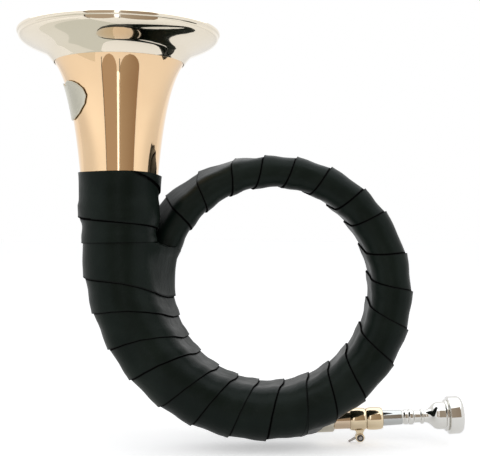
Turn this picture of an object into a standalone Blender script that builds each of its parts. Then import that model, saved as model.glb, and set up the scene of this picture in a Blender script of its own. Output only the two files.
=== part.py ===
"""Coiled hunting horn.

A conical brass tube is wound two and a quarter turns round an open grip ring and ends in a
flared bell that points up. Leather strip binds the turns and the bell's throat. The mouthpiece
sits in a tuning slide, which a split collar with a lever screw clamps in the fixed mouthpipe.

Metres, +Z up, seen from the front along +Y. The origin is the centre of the grip ring.
Angles round the ring are in degrees, clockwise as seen from the front, from six o'clock.
"""

import math

import bmesh
import bpy
from mathutils import Matrix, Vector

MM = 0.001

# Clearances
GAP = 0.3 * MM
TURN_GAP = 1.5 * MM

# Grip ring: the inner sides of the turns lie on one bend circle
BEND_RADIUS = 65.1 * MM
MOUTHPIPE_OFFSET = BEND_RADIUS + 26.2 * MM
MOUTHPIPE_RISE = 2.5
RUN_IN_START = 30.0
RUN_IN_END = 230.0
CROSSING_START = 375.0
BOW_LIFT = 1.0 * MM
BOW_LIFT_START = 675.0
STATION_STEP = 15.0

# Tube: outer radii along its length, and its wall
TUBE_WALL = 0.5 * MM
LEAD_RADIUS = 5.9 * MM
COIL_END_RADIUS = 8.0 * MM
COIL_END = 540.0
BOW_EASE = 735.0
BOW_EASE_RADIUS = 15.3 * MM
BOW_FLARE = 1.2
COIL_SIDES = 10
BOW_SIDES = 20

# Bell: a turned horn that follows a power law, with a lip that turns up to the rim
BELL_X = -BEND_RADIUS - 31.2 * MM
BELL_Y = -10.0 * MM
BELL_STRAIGHT_Z = 20.0 * MM
BELL_JOINT_Z = 47.0 * MM
BELL_MOUTH_Z = 157.0 * MM
BELL_POWER = 0.336
BELL_LEAD = 4.0 * MM
THROAT_Z = 72.3 * MM
THROAT_RADIUS = 24.6 * MM
LIP_Z = 145.5 * MM
LIP_RADIUS = 61.6 * MM
LIP_PULL = 5.0 * MM
BELL_SIDES = 28
BELL_ROWS = 9
LIP_ROWS = 5

# Garland: the nickel silver band over the bell's edge, rolled round a wire
GARLAND_Z = 140.3 * MM
GARLAND_SHEET = 0.5 * MM
RIM_WIRE_RADIUS = 1.0 * MM
RIM_INSET = 1.0 * MM
RIM_ABOVE_MOUTH = 1.5 * MM
RIM_ROLL_START = -35.0
RIM_ROLL_END = 215.0
RIM_ROLL_STEPS = 6
RIM_FLAT = 0.5 * MM

# Badge plate on the bell, in the shape of a heart, left bare
BADGE_TIP_Z = 103.2 * MM
BADGE_HEIGHT = 23.6 * MM
BADGE_TURN = 22.0
BADGE_HALF_ANGLE = 37.0
BADGE_STAND = 0.5 * MM
BADGE_SHEET = 0.6 * MM
BADGE_RINGS = 3

# Ferrules on the tube's two joints
JOINT_SLEEVE_WALL = 0.5 * MM
JOINT_SLEEVE_LENGTH = 9.0 * MM

# Leather strip, wound in overlapping turns
STRIP_THIN = 0.9 * MM
STRIP_THICK = 1.8 * MM
STRIP_LEAN = 0.02
FRONT_SHARE = 0.6
RING_SIDES = 24
ENTRY_ANGLE = -17.0
CROTCH_ANGLE = 111.0
CROTCH_BLEND_END = 150.0
CROTCH_SQUEEZE = 0.4
CROTCH_SQUEEZE_LENGTH = 18.0 * MM
WRAP_END_GAP = 0.2 * MM
LOWER_EDGE = -6.9
LOWER_PITCH = 12.9
LOWER_TURNS = 7
LOWER_LAST_EDGE = 109.8
UPPER_EDGE = 123.5
UPPER_PITCH = 15.45
BELL_WRAP_FIRST_EDGE = 38.6 * MM
BELL_WRAP_PITCH = 21.7 * MM
BELL_WRAP_TOP = 73.0 * MM
BELL_WRAP_RUN_OUT = 0.18

# Mouthpipe pieces, as places along its axis from the joint of the two collars
SLIDE_JOINT = 58.4 * MM
PIPE_OUTER = 5.95 * MM
PIPE_WALL = 0.45 * MM
PIPE_START = -30.7 * MM
FERRULE_START = -38.0 * MM
FERRULE_END = -21.1 * MM
FERRULE_RADIUS = 7.6 * MM
FERRULE_BEVEL = 1.0 * MM
SLIDE_WALL = 0.4 * MM
SLIDE_START = -26.0 * MM
SLIDE_SEAT = 4.2 * MM
COLLAR_LENGTH = 10.5 * MM
COLLAR_RADIUS = 7.4 * MM
COLLAR_END_RADIUS = 6.75 * MM
COLLAR_SHOULDER = 0.6 * MM
COLLAR_SIDES = 24

# Clamp: two ears under the split collar, drawn together by a lever screw
EAR_CENTRE = -4.5 * MM
EAR_DROP = 11.8 * MM
EAR_RADIUS = 3.0 * MM
EAR_NECK = 2.1 * MM
EAR_FOOT = 3.3 * MM
EAR_THICKNESS = 2.2 * MM
SLIT_WIDTH = 0.8 * MM
SCREW_RADIUS = 1.2 * MM
SCREW_HEAD_RADIUS = 2.2 * MM
SCREW_HEAD_HEIGHT = 1.4 * MM
LEVER_HUB_RADIUS = 2.3 * MM
LEVER_LENGTH = 8.0 * MM
LEVER_WIDTH = 1.7 * MM
LEVER_TIP_WIDTH = 1.3 * MM
LEVER_THICKNESS = 1.8 * MM
LEVER_ANGLE = 206.4
NOTCH_RADIUS = 1.4 * MM

# Mouthpiece
MOUTHPIECE_REACH = 52.4 * MM
MOUTHPIECE_RADIUS = 12.2 * MM
SHANK_DEPTH = 20.0 * MM
SHANK_TIP_RADIUS = 4.15 * MM
SHANK_SEAT_RADIUS = 4.45 * MM
MOUTHPIECE_SIDES = 24
THROAT_BORE = 1.9 * MM
BACKBORE_RADIUS = 3.4 * MM


def lerp(start, end, share):
    """Value a share of the way from start to end."""
    return start + (end - start) * share


def smooth(share):
    """Ease from 0 to 1 with level ends."""
    share = min(max(share, 0.0), 1.0)
    return share * share * (3.0 - 2.0 * share)


def interpolate(value, knots):
    """Read a piecewise straight curve, given as (x, y) knots, and run on past its ends."""
    for (x0, y0), (x1, y1) in zip(knots, knots[1:]):
        if value <= x1:
            break
    return lerp(y0, y1, (value - x0) / (x1 - x0))


def bezier(points, share):
    """Point on a cubic curve through its four control points."""
    weights = ((1 - share) ** 3, 3 * share * (1 - share) ** 2, 3 * share ** 2 * (1 - share), share ** 3)
    return sum((point * weight for point, weight in zip(points, weights)), Vector((0.0, 0.0)))


def polar(radius, angle):
    """X and Z of a point at a radius and an angle round the grip ring."""
    turn = math.radians(angle)
    return Vector((-radius * math.sin(turn), -radius * math.cos(turn)))


# The tube's course

def bell_law(z):
    """Outer radius of the bell below its lip."""
    reach = (BELL_MOUTH_Z - z + BELL_LEAD) / (BELL_MOUTH_Z - THROAT_Z + BELL_LEAD)
    return THROAT_RADIUS * reach ** -BELL_POWER


def coil_radius(angle):
    """Outer radius of the tube in the coil."""
    if angle <= COIL_END:
        return lerp(LEAD_RADIUS, COIL_END_RADIUS, max(angle, 0.0) / COIL_END)
    share = (angle - COIL_END) / (BOW_EASE - COIL_END)
    return lerp(COIL_END_RADIUS, BOW_EASE_RADIUS, share ** BOW_FLARE)


def coil_distance(angle):
    """Distance of the tube's centre line from the ring's centre, in the coil."""
    run_in = MOUTHPIPE_OFFSET - BEND_RADIUS - LEAD_RADIUS
    run_in *= 1.0 - smooth((angle - RUN_IN_START) / (RUN_IN_END - RUN_IN_START))
    lift = BOW_LIFT * (max(angle - BOW_LIFT_START, 0.0) / (BOW_EASE - BOW_LIFT_START)) ** 2
    return BEND_RADIUS + coil_radius(angle) + run_in + lift


def bow_curve():
    """Control points of the curve that leads from the coil up into the bell."""
    start = polar(coil_distance(BOW_EASE), BOW_EASE)
    before = polar(coil_distance(BOW_EASE - 1.0), BOW_EASE - 1.0)
    heading = (start - before).normalized()
    end = Vector((BELL_X, BELL_STRAIGHT_Z))
    turn = heading.angle(Vector((0.0, 1.0)))
    radius = (end - start).length / (2.0 * math.sin(turn / 2.0))
    pull = 4.0 / 3.0 * math.tan(turn / 4.0) * radius
    return start, start + heading * pull, end - Vector((0.0, pull)), end


def mouthpipe_direction():
    """X and Z of the unit vector along the mouthpipe, towards the mouthpiece."""
    rise = math.radians(MOUTHPIPE_RISE)
    return Vector((math.cos(rise), math.sin(rise)))


def mouthpipe_point(place):
    """X and Z of a point on the mouthpipe's axis, by its place from the collars' joint."""
    tangent_point = polar(MOUTHPIPE_OFFSET, -MOUTHPIPE_RISE)
    return tangent_point + mouthpipe_direction() * (SLIDE_JOINT + place)


def trace_course():
    """Sample the centre line as (angle, point in XZ, radius), from the mouthpipe to the bell."""
    course = []
    for step in range(20):
        place = lerp(0.0, -SLIDE_JOINT, step / 20)
        point = mouthpipe_point(place)
        course.append((-math.degrees(math.atan2(point.x, -point.y)), point, LEAD_RADIUS))
    angle = -MOUTHPIPE_RISE
    while angle < BOW_EASE:
        course.append((angle, polar(coil_distance(angle), angle), coil_radius(angle)))
        angle += 2.5
    curve = bow_curve()
    bell_start = bell_law(BELL_STRAIGHT_Z)
    for step in range(41):
        point = bezier(curve, step / 40)
        angle = 720.0 + math.degrees(math.atan2(-point.x, -point.y))
        course.append((angle, point, lerp(BOW_EASE_RADIUS, bell_start, step / 40)))
    for step in range(1, 11):
        z = lerp(BELL_STRAIGHT_Z, BELL_JOINT_Z + 5 * MM, step / 10)
        angle = 720.0 + math.degrees(math.atan2(-BELL_X, -z))
        course.append((angle, Vector((BELL_X, z)), bell_law(z)))
    return course


COURSE = trace_course()
DISTANCE_KNOTS = [(angle, point.length) for angle, point, radius in COURSE]
RADIUS_KNOTS = [(angle, radius) for angle, point, radius in COURSE]


def nesting(first, second):
    """Depth between two passes of the tube that lie against each other, at two angles."""
    reach = interpolate(first, RADIUS_KNOTS) + interpolate(second, RADIUS_KNOTS) + TURN_GAP
    apart = interpolate(first, DISTANCE_KNOTS) - interpolate(second, DISTANCE_KNOTS)
    return math.sqrt(max(reach * reach - apart * apart, 0.0))


BELL_TURN = 810.0
BACK_Y = BELL_Y + nesting(BELL_TURN - 720.0, BELL_TURN)


def course_depth(angle):
    """Y of the centre line: the first turn lies flat at the back, the later ones against it."""
    if angle >= BELL_TURN:
        return BELL_Y
    if angle <= CROSSING_START:
        return BACK_Y
    if angle < COIL_END:
        share = smooth((angle - CROSSING_START) / (COIL_END - CROSSING_START))
        return BACK_Y - share * nesting(COIL_END - 360.0, COIL_END)
    depth = BACK_Y - course_depth(angle - 360.0) + nesting(angle - 360.0, angle)
    if angle >= 720.0:
        depth = max(depth, nesting(angle - 720.0, angle))
    return BACK_Y - depth


# Cross-sections

def ring_plane(angle):
    """Cutting plane across the ring: a pivot, the outward and the forward direction in XZ."""
    if angle <= 90.0 or angle >= CROTCH_BLEND_END:
        tilt = angle
    elif angle <= CROTCH_ANGLE:
        tilt = 90.0
    else:
        share = (angle - CROTCH_ANGLE) / (CROTCH_BLEND_END - CROTCH_ANGLE)
        tilt = lerp(90.0, CROTCH_BLEND_END, share)
    pivot = polar(BEND_RADIUS + COIL_END_RADIUS, angle)
    outward = polar(1.0, tilt)
    return pivot, outward, Vector((outward.y, -outward.x))


def crossing(angle, turn):
    """Where pass number turn of the tube meets a ring plane: distance out, Y, radius, stretch."""
    pivot, outward, forward = ring_plane(angle)
    wanted = angle + 360.0 * turn
    for (a0, p0, r0), (a1, p1, r1) in zip(COURSE, COURSE[1:]):
        if a1 < wanted - 30.0 or a0 > wanted + 30.0:
            continue
        d0 = (p0 - pivot).dot(forward)
        d1 = (p1 - pivot).dot(forward)
        if d0 <= 0.0 < d1:
            share = d0 / (d0 - d1)
            point = p0.lerp(p1, share)
            stretch = (p1 - p0).length / (d1 - d0)
            out = (point - pivot).dot(outward)
            return out, course_depth(lerp(a0, a1, share)), lerp(r0, r1, share), stretch
    raise ValueError("no crossing at %.1f, turn %d" % (angle, turn))


def ring_point(plane, out, y):
    """World point on a ring plane."""
    pivot, outward, _ = plane
    spot = pivot + outward * out
    return Vector((spot.x, y, spot.y))


def tube_ring(angle, turn, sides, inset=0.0):
    """Points round the tube where it meets a ring plane, drawn in by an inset."""
    plane = ring_plane(angle)
    out, y, radius, stretch = crossing(angle, turn)
    radius -= inset
    ring = []
    for side in range(sides):
        around = 2.0 * math.pi * side / sides
        ring.append(ring_point(plane, out + radius * stretch * math.cos(around),
                               y + radius * math.sin(around)))
    return ring


def stations(first, last):
    """Absolute angles of the tube's cross-sections from first to last, both included."""
    shared = [STATION_STEP * step for step in range(-2, 60)]
    shared += [360.0 * turn + place for turn in range(-1, 3) for place in (CROTCH_ANGLE, 360.0 + ENTRY_ANGLE)]
    inside = sorted({angle for angle in shared if first + 1.0 < angle < last - 1.0})
    return [first] + inside + [last]


def split_turn(angle):
    """Split an absolute angle into its place round the ring and its pass number."""
    turn = math.floor((angle - ENTRY_ANGLE + 1.0) / 360.0)
    return angle - 360.0 * turn, turn


# Meshes and objects

def new_material(name, colour, roughness, metallic):
    """Principled material of one finish."""
    material = bpy.data.materials.new(name)
    material.use_nodes = True
    shader = material.node_tree.nodes["Principled BSDF"]
    shader.inputs["Base Color"].default_value = (*colour, 1.0)
    shader.inputs["Roughness"].default_value = roughness
    shader.inputs["Metallic"].default_value = metallic
    material.diffuse_color = (*colour, 1.0)
    return material


def new_object(name, mesh_data, material, parent=None, sharp=40.0):
    """Turn a bmesh into a smooth shaded object with its normals outwards."""
    bmesh.ops.recalc_face_normals(mesh_data, faces=mesh_data.faces)
    mesh = bpy.data.meshes.new(name)
    mesh_data.to_mesh(mesh)
    mesh_data.free()
    mesh.shade_smooth()
    mesh.set_sharp_from_angle(angle=math.radians(sharp))
    mesh.materials.append(material)
    item = bpy.data.objects.new(name, mesh)
    bpy.context.scene.collection.objects.link(item)
    item.parent = parent
    return item


def add_ring(mesh_data, points):
    """Add a closed row of vertices."""
    return [mesh_data.verts.new(point) for point in points]


def join_rings(mesh_data, lower, upper):
    """Face the band between two closed rows of as many vertices."""
    count = len(lower)
    for side in range(count):
        after = (side + 1) % count
        mesh_data.faces.new((lower[side], lower[after], upper[after], upper[side]))


def hollow_loft(outer_rings, inner_rings):
    """Closed tube wall between outer and inner rows that start and end together."""
    mesh_data = bmesh.new()
    outer = [add_ring(mesh_data, ring) for ring in outer_rings]
    inner = [add_ring(mesh_data, ring) for ring in inner_rings]
    for rows in (outer, inner):
        for lower, upper in zip(rows, rows[1:]):
            join_rings(mesh_data, lower, upper)
    join_rings(mesh_data, inner[0], outer[0])
    join_rings(mesh_data, outer[-1], inner[-1])
    return mesh_data


def turned(profile, sides, along="Z", phase=0.0):
    """Spin a closed profile of (place along the axis, radius) points round Z or X."""
    mesh_data = bmesh.new()
    cos, sin = math.cos(phase), math.sin(phase)
    if along == "Z":
        corners = [mesh_data.verts.new((r * cos, r * sin, s)) for s, r in profile]
        axis = (0.0, 0.0, 1.0)
    else:
        corners = [mesh_data.verts.new((s, r * cos, r * sin)) for s, r in profile]
        axis = (1.0, 0.0, 0.0)
    edges = [mesh_data.edges.new(pair) for pair in zip(corners, corners[1:] + corners[:1])]
    bmesh.ops.spin(mesh_data, geom=corners + edges, cent=(0.0, 0.0, 0.0), axis=axis,
                   angle=2.0 * math.pi, steps=sides, use_merge=True, use_duplicate=False)
    return mesh_data


def add_cutter(target, name, mesh_data, operation="DIFFERENCE"):
    """Cut or join a target with a guide solid that isn't itself a piece."""
    bmesh.ops.recalc_face_normals(mesh_data, faces=mesh_data.faces)
    mesh = bpy.data.meshes.new(name)
    mesh_data.to_mesh(mesh)
    mesh_data.free()
    guide = bpy.data.objects.new(name, mesh)
    bpy.context.scene.collection.objects.link(guide)
    guide.parent = target.parent
    guide.location = target.location
    guide.hide_render = True
    guide.display_type = "WIRE"
    modifier = target.modifiers.new(name, "BOOLEAN")
    modifier.operation = operation
    modifier.solver = "EXACT"
    modifier.object = guide


def solid_box(low, high):
    """Box between two corners."""
    mesh_data = bmesh.new()
    centre = [(a + b) / 2.0 for a, b in zip(low, high)]
    size = [b - a for a, b in zip(low, high)]
    matrix = Matrix.Translation(centre) @ Matrix.Diagonal((*size, 1.0))
    bmesh.ops.create_cube(mesh_data, size=1.0, matrix=matrix)
    return mesh_data


def solid_rod(centre, radius, length, axis, sides):
    """Rod of a radius and length about a centre, along X or Y."""
    mesh_data = bmesh.new()
    turn = Matrix.Rotation(math.pi / 2.0, 4, "Y" if axis == "X" else "X")
    bmesh.ops.create_cone(mesh_data, cap_ends=True, segments=sides, radius1=radius, radius2=radius,
                          depth=length, matrix=Matrix.Translation(centre) @ turn)
    return mesh_data


def solid_prism(outline, low_y, high_y):
    """Extrude an outline in XZ from low_y to high_y."""
    mesh_data = bmesh.new()
    base = mesh_data.faces.new([mesh_data.verts.new((x, low_y, z)) for x, z in outline])
    moved = bmesh.ops.extrude_face_region(mesh_data, geom=[base])["geom"]
    corners = [item for item in moved if isinstance(item, bmesh.types.BMVert)]
    bmesh.ops.translate(mesh_data, vec=(0.0, high_y - low_y, 0.0), verts=corners)
    return mesh_data


# Tube pieces

def build_coil_tube(material):
    """The small tube, from the mouthpipe ferrule through one and a half turns."""
    along = mouthpipe_direction()
    start = mouthpipe_point(PIPE_START - GAP)
    across = Vector((-along.y, along.x))
    rings = {0.0: [], TUBE_WALL: []}
    for inset, rows in rings.items():
        first = []
        for side in range(COIL_SIDES):
            around = 2.0 * math.pi * side / COIL_SIDES
            spot = start - across * (LEAD_RADIUS - inset) * math.cos(around)
            first.append(Vector((spot.x, BACK_Y + (LEAD_RADIUS - inset) * math.sin(around), spot.y)))
        rows.append(first)
        for angle in stations(ENTRY_ANGLE, COIL_END):
            place, turn = split_turn(angle)
            rows.append(tube_ring(place, turn, COIL_SIDES, inset))
    return new_object("coil_tube", hollow_loft(rings[0.0], rings[TUBE_WALL]), material)


def joint_angle_gap():
    """Angle at the coil's joint that matches the gap between two tube ends."""
    return math.degrees(GAP / coil_distance(COIL_END))


def bow_angles():
    """Cross-sections of the bow, from the coil's joint to the last one below the bell."""
    return stations(COIL_END + joint_angle_gap(), 720.0 + CROTCH_ANGLE)


def build_bow_tube(material):
    """The wide tube, from the coil's joint round the bottom and up to the bell."""
    outer = [tube_ring(*split_turn(angle), BOW_SIDES) for angle in bow_angles()]
    inner = [tube_ring(*split_turn(angle), BOW_SIDES, TUBE_WALL) for angle in bow_angles()]
    end_z = BELL_JOINT_Z - GAP / 2.0
    for rows, inset in ((outer, 0.0), (inner, TUBE_WALL)):
        radius = bell_law(end_z) - inset
        last = []
        for side in range(BOW_SIDES):
            around = 2.0 * math.pi * side / BOW_SIDES
            spot = (BELL_X - radius * math.cos(around), BELL_Y + radius * math.sin(around), end_z)
            last.append(Vector(spot))
        rows.append(last)
    return new_object("bow_tube", hollow_loft(outer, inner), material)


def chord_ring(low, high, share, sides, inset):
    """Points round the tube a share of the way along its straight run between two stations."""
    low_ring = tube_ring(*split_turn(low), sides, inset)
    high_ring = tube_ring(*split_turn(high), sides, inset)
    return [before.lerp(after, share) for before, after in zip(low_ring, high_ring)]


def build_coil_ferrule(material):
    """Sleeve over the joint of the coil tube and the bow."""
    step = coil_distance(COIL_END) * math.radians(STATION_STEP)
    share = JOINT_SLEEVE_LENGTH / 2.0 / step
    runs = ((COIL_END - STATION_STEP, COIL_END, 1.0 - share), (COIL_END - STATION_STEP, COIL_END, 1.0),
            (COIL_END, COIL_END + STATION_STEP, share))
    outer = [chord_ring(*run, BOW_SIDES, -GAP - JOINT_SLEEVE_WALL) for run in runs]
    inner = [chord_ring(*run, BOW_SIDES, -GAP) for run in runs]
    return new_object("coil_ferrule", hollow_loft(outer, inner), material)


# Bell

def bell_outline():
    """(z, radius) points up the outside of the bell, from its joint to its edge."""
    base = BELL_JOINT_Z + GAP / 2.0
    points = []
    for row in range(BELL_ROWS + 1):
        share = 1.0 - (1.0 - row / BELL_ROWS) ** 1.3
        z = lerp(base, GARLAND_Z, share)
        points.append((z, bell_law(z)))
    return points + lip_outline()


def lip_outline():
    """(z, radius) points up the outside of the bell's lip."""
    start = bell_law(LIP_Z)
    slope = (bell_law(LIP_Z + 0.1 * MM) - start) / (0.1 * MM)
    heading = Vector((1.0, slope)).normalized()
    low = Vector((LIP_Z, start))
    high = Vector((BELL_MOUTH_Z, LIP_RADIUS))
    curve = (low, low + heading * LIP_PULL, high - Vector((LIP_PULL, 0.0)), high)
    return [tuple(bezier(curve, row / LIP_ROWS)) for row in range(LIP_ROWS + 1)]


def offset_outline(outline, distance):
    """Move an outline of (z, radius) points outwards, square to itself."""
    moved = []
    for index, (z, radius) in enumerate(outline):
        before = outline[max(index - 1, 0)]
        after = outline[min(index + 1, len(outline) - 1)]
        run = Vector((after[0] - before[0], after[1] - before[1])).normalized()
        moved.append((z - run.y * distance, radius + run.x * distance))
    return moved


def place_on_bell(item):
    """Put an object's origin on the bell's axis."""
    item.location = (BELL_X, BELL_Y, 0.0)
    return item


def bell_phase():
    """Turn that puts the middle of a facet on the bell's +X side."""
    return -math.pi / BELL_SIDES


def build_bell(material):
    """Thin brass bell, open at both ends."""
    outside = bell_outline()
    inside = offset_outline(outside, -TUBE_WALL)
    inside[0] = (outside[0][0], inside[0][1])
    inside[-1] = (outside[-1][0], inside[-1][1])
    profile = outside + inside[::-1]
    return place_on_bell(new_object("bell", turned(profile, BELL_SIDES, phase=bell_phase()), material))


def build_bell_ferrule(material):
    """Sleeve over the joint of the bow and the bell."""
    low = BELL_JOINT_Z - JOINT_SLEEVE_LENGTH / 2.0
    high = BELL_JOINT_Z + JOINT_SLEEVE_LENGTH / 2.0
    outside = [(z, bell_law(z) + GAP + JOINT_SLEEVE_WALL) for z in (low, BELL_JOINT_Z, high)]
    inside = [(z, bell_law(z) + GAP) for z in (high, BELL_JOINT_Z, low)]
    mesh_data = turned(outside + inside, BELL_SIDES, phase=bell_phase())
    return place_on_bell(new_object("bell_ferrule", mesh_data, material))


def rim_centre():
    """(z, radius) of the wire in the rim."""
    edge = LIP_RADIUS + GAP + GARLAND_SHEET
    return BELL_MOUTH_Z + RIM_ABOVE_MOUTH, edge - RIM_INSET


def rim_top():
    """Height of the flat on top of the rolled rim."""
    return rim_centre()[0] + RIM_WIRE_RADIUS + GAP + GARLAND_SHEET


def roll(radius):
    """(z, radius) points of the rolled edge, from outside over the top to the inside."""
    z, out = rim_centre()
    points = []
    for step in range(RIM_ROLL_STEPS + 1):
        around = math.radians(lerp(RIM_ROLL_START, RIM_ROLL_END, step / RIM_ROLL_STEPS))
        points.append((z + radius * math.sin(around), out + radius * math.cos(around)))
    return points


def build_garland(material):
    """Band over the bell's flare, rolled round the rim wire, with a flat on the roll."""
    lip = [(GARLAND_Z, bell_law(GARLAND_Z))] + lip_outline()[:-1]
    inner_roll = RIM_WIRE_RADIUS + GAP
    outer_roll = roll(inner_roll + GARLAND_SHEET)
    middle = RIM_ROLL_STEPS // 2
    out = rim_centre()[1]
    outer_roll[middle:middle + 1] = [(rim_top(), out + RIM_FLAT), (rim_top(), out - RIM_FLAT)]
    outside = offset_outline(lip, GAP + GARLAND_SHEET)
    inside = offset_outline(lip, GAP)
    profile = outside + outer_roll + roll(inner_roll)[::-1] + inside[::-1]
    return place_on_bell(new_object("garland", turned(profile, BELL_SIDES, phase=bell_phase()), material))


def build_rim_wire(material):
    """Wire inside the rolled rim."""
    z, out = rim_centre()
    profile = []
    for step in range(6):
        around = 2.0 * math.pi * step / 6
        profile.append((z + RIM_WIRE_RADIUS * math.sin(around), out + RIM_WIRE_RADIUS * math.cos(around)))
    return place_on_bell(new_object("rim_wire", turned(profile, BELL_SIDES, phase=bell_phase()), material))


def badge_outline():
    """(angle share, height share) points round the heart, from its notch down one side and back."""
    side = ((0.0, 0.88), (0.12, 0.97), (0.28, 1.0), (0.52, 0.955), (0.72, 0.88), (0.92, 0.74), (1.0, 0.56),
            (0.88, 0.35), (0.57, 0.14), (0.25, 0.035), (0.0, 0.0))
    mirrored = [(-x, y) for x, y in side[1:-1]]
    return list(side) + mirrored[::-1]


def badge_point(x, y, lift):
    """Point above the bell's side, by the badge's own shares of angle and height."""
    around = math.pi + math.radians(BADGE_TURN + x * BADGE_HALF_ANGLE)
    z = BADGE_TIP_Z + BADGE_HEIGHT * y
    radius = bell_law(z) + lift
    return Vector((radius * math.cos(around), radius * math.sin(around), z))


def build_badge(material):
    """Heart-shaped plate that follows the bell's side."""
    outline = badge_outline()
    centre = 0.55
    rims = []
    mesh_data = bmesh.new()
    for lift in (BADGE_STAND, BADGE_STAND + BADGE_SHEET):
        rows = []
        for ring in range(1, BADGE_RINGS + 1):
            share = ring / BADGE_RINGS
            row = [badge_point(x * share, lerp(centre, y, share), lift) for x, y in outline]
            rows.append(add_ring(mesh_data, row))
        hub = mesh_data.verts.new(badge_point(0.0, centre, lift))
        for side, corner in enumerate(rows[0]):
            mesh_data.faces.new((hub, corner, rows[0][(side + 1) % len(outline)]))
        for lower, upper in zip(rows, rows[1:]):
            join_rings(mesh_data, lower, upper)
        rims.append(rows[-1])
    join_rings(mesh_data, rims[0], rims[1])
    return place_on_bell(new_object("badge", mesh_data, material))


# Leather

def covered_circles(angle, turns):
    """Circles (out, y, radius) that the leather covers on a ring plane."""
    circles = []
    for turn in turns:
        out, y, radius, stretch = crossing(angle, turn)
        absolute = angle + 360.0 * turn
        if abs(absolute - COIL_END) < 1.0:
            radius += 2.0 * GAP + JOINT_SLEEVE_WALL
        if turn == 0 and angle < ENTRY_ANGLE + 4.0:
            radius = FERRULE_RADIUS
        circles.append((out, y, radius * stretch))
    return circles


def hull_point(circles, around, extra):
    """Point on the outline stretched over circles, in the direction around."""
    normal = Vector((math.cos(around), math.sin(around)))
    best = max(circles, key=lambda circle: circle[0] * normal.x + circle[1] * normal.y + circle[2])
    reach = best[2] + extra + slack(best[2])
    return best[0] + reach * normal.x, best[1] + reach * normal.y


def slack(radius):
    """Room that the faceted bore keeps, so that its flats clear the tube."""
    return GAP + radius * (1.0 - math.cos(2.0 * math.pi / RING_SIDES))


def around_at(column, columns, half):
    """Direction of a column: from the ring's inner side over the front to its outer side."""
    return math.pi + 2.0 * math.pi * (column + half) / columns


def edge_share(column, columns):
    """How far a strip's edge has moved on at a column, as a share of its pitch."""
    half = columns / 2.0
    if column <= half:
        return FRONT_SHARE * column / half
    return FRONT_SHARE + (1.0 - FRONT_SHARE) * (column - half) / half


def strip_thickness(turns, column, columns):
    """Thickness of the winding: thick at an edge that lies over the last turn, then thinning."""
    since_edge = (turns - edge_share(column, columns)) % 1.0
    return lerp(STRIP_THICK, STRIP_THIN, since_edge)


def winding(columns, knots, first, last, bore_places, surface):
    """Closed sleeve with the stepped face of one strip wound from first to last.

    knots relate a place along the sleeve to the number of turns wound there, and
    surface(place, column, thickness) gives a point that far above the bore.
    """
    mesh_data = bmesh.new()
    back_knots = [(turns, place) for place, turns in knots]
    begun = interpolate(first, knots)
    ended = interpolate(last, knots)

    def outer(turns, place, column, thickness=None):
        if thickness is None:
            thickness = strip_thickness(turns, column, columns)
        return mesh_data.verts.new(surface(place, column, thickness))

    start = [outer(begun, first, column) for column in range(columns)]
    end = [outer(ended, last, column) for column in range(columns)]
    low, high, middle = {}, {}, {}
    index = math.floor(begun) * columns
    while index // columns + edge_share(index % columns, columns) < ended - 1.5 * STRIP_LEAN:
        turns = index // columns + edge_share(index % columns, columns)
        if turns > begun + 1.5 * STRIP_LEAN:
            column = index % columns
            before = interpolate(turns - STRIP_LEAN, back_knots)
            after = interpolate(turns, back_knots)
            low[index] = outer(turns, before, column, STRIP_THIN)
            high[index] = outer(turns, after, column, STRIP_THICK)
            if turns + 1.0 < ended - 1.5 * STRIP_LEAN:
                middle[index] = outer(turns + 0.5, interpolate(turns + 0.5, back_knots), column)
        index += 1
    first_edge, last_edge = min(low), max(low)
    for edge in range(first_edge, last_edge):
        mesh_data.faces.new((low[edge], low[edge + 1], high[edge + 1], high[edge]))
    for edge in range(first_edge, last_edge - columns):
        above = edge + columns
        mesh_data.faces.new((high[edge], high[edge + 1], middle[edge + 1], middle[edge]))
        mesh_data.faces.new((middle[edge], middle[edge + 1], low[above + 1], low[above]))
    for edge in range(first_edge, first_edge + columns - 1):
        here, after = edge % columns, (edge + 1) % columns
        mesh_data.faces.new((start[here], start[after], low[edge + 1], low[edge]))
    seam, opened = first_edge + columns - 1, first_edge % columns
    above = first_edge + columns
    mesh_data.faces.new((start[seam % columns], high[first_edge], middle[first_edge], low[above], low[seam]))
    mesh_data.faces.new((start[seam % columns], start[opened], low[first_edge], high[first_edge]))
    for edge in range(last_edge - columns + 1, last_edge):
        here, after = edge % columns, (edge + 1) % columns
        mesh_data.faces.new((high[edge], high[edge + 1], end[after], end[here]))
    seam, closed = last_edge - columns, (last_edge + 1) % columns
    mesh_data.faces.new((middle[seam], high[seam], high[seam + 1], end[closed], low[last_edge]))
    mesh_data.faces.new((low[last_edge], end[closed], end[last_edge % columns], high[last_edge]))

    bore = [add_ring(mesh_data, [surface(place, column, 0.0) for column in range(columns)])
            for place in bore_places]
    for lower, upper in zip(bore, bore[1:]):
        join_rings(mesh_data, lower, upper)
    join_rings(mesh_data, bore[0], start)
    join_rings(mesh_data, end, bore[-1])
    return mesh_data


def ring_surface(turns):
    """Surface function of a wrap round the given passes of the tube."""
    known = {}

    def circles(place):
        key = round(place, 3)
        if key not in known:
            known[key] = covered_circles(place, turns)
        return known[key]

    def between(place):
        marks = stations(ENTRY_ANGLE, 360.0 + ENTRY_ANGLE)
        for low, high in zip(marks, marks[1:]):
            if place <= high:
                break
        inside_low = max(low, first_mark(turns))
        inside_high = min(high, last_mark(turns))
        share = (place - inside_low) / (inside_high - inside_low)
        low_circles, high_circles = circles(inside_low), circles(inside_high)
        return [tuple(lerp(a, b, share) for a, b in zip(*pair)) for pair in zip(low_circles, high_circles)]

    def surface(place, column, thickness):
        squeeze = lerp(CROTCH_SQUEEZE, 1.0, crotch_relief(place)) if len(turns) == 2 else 1.0
        around = around_at(column, RING_SIDES, 0.0)
        out, y = hull_point(between(place), around, thickness * squeeze)
        return ring_point(ring_plane(place), out, y)

    return surface


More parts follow.
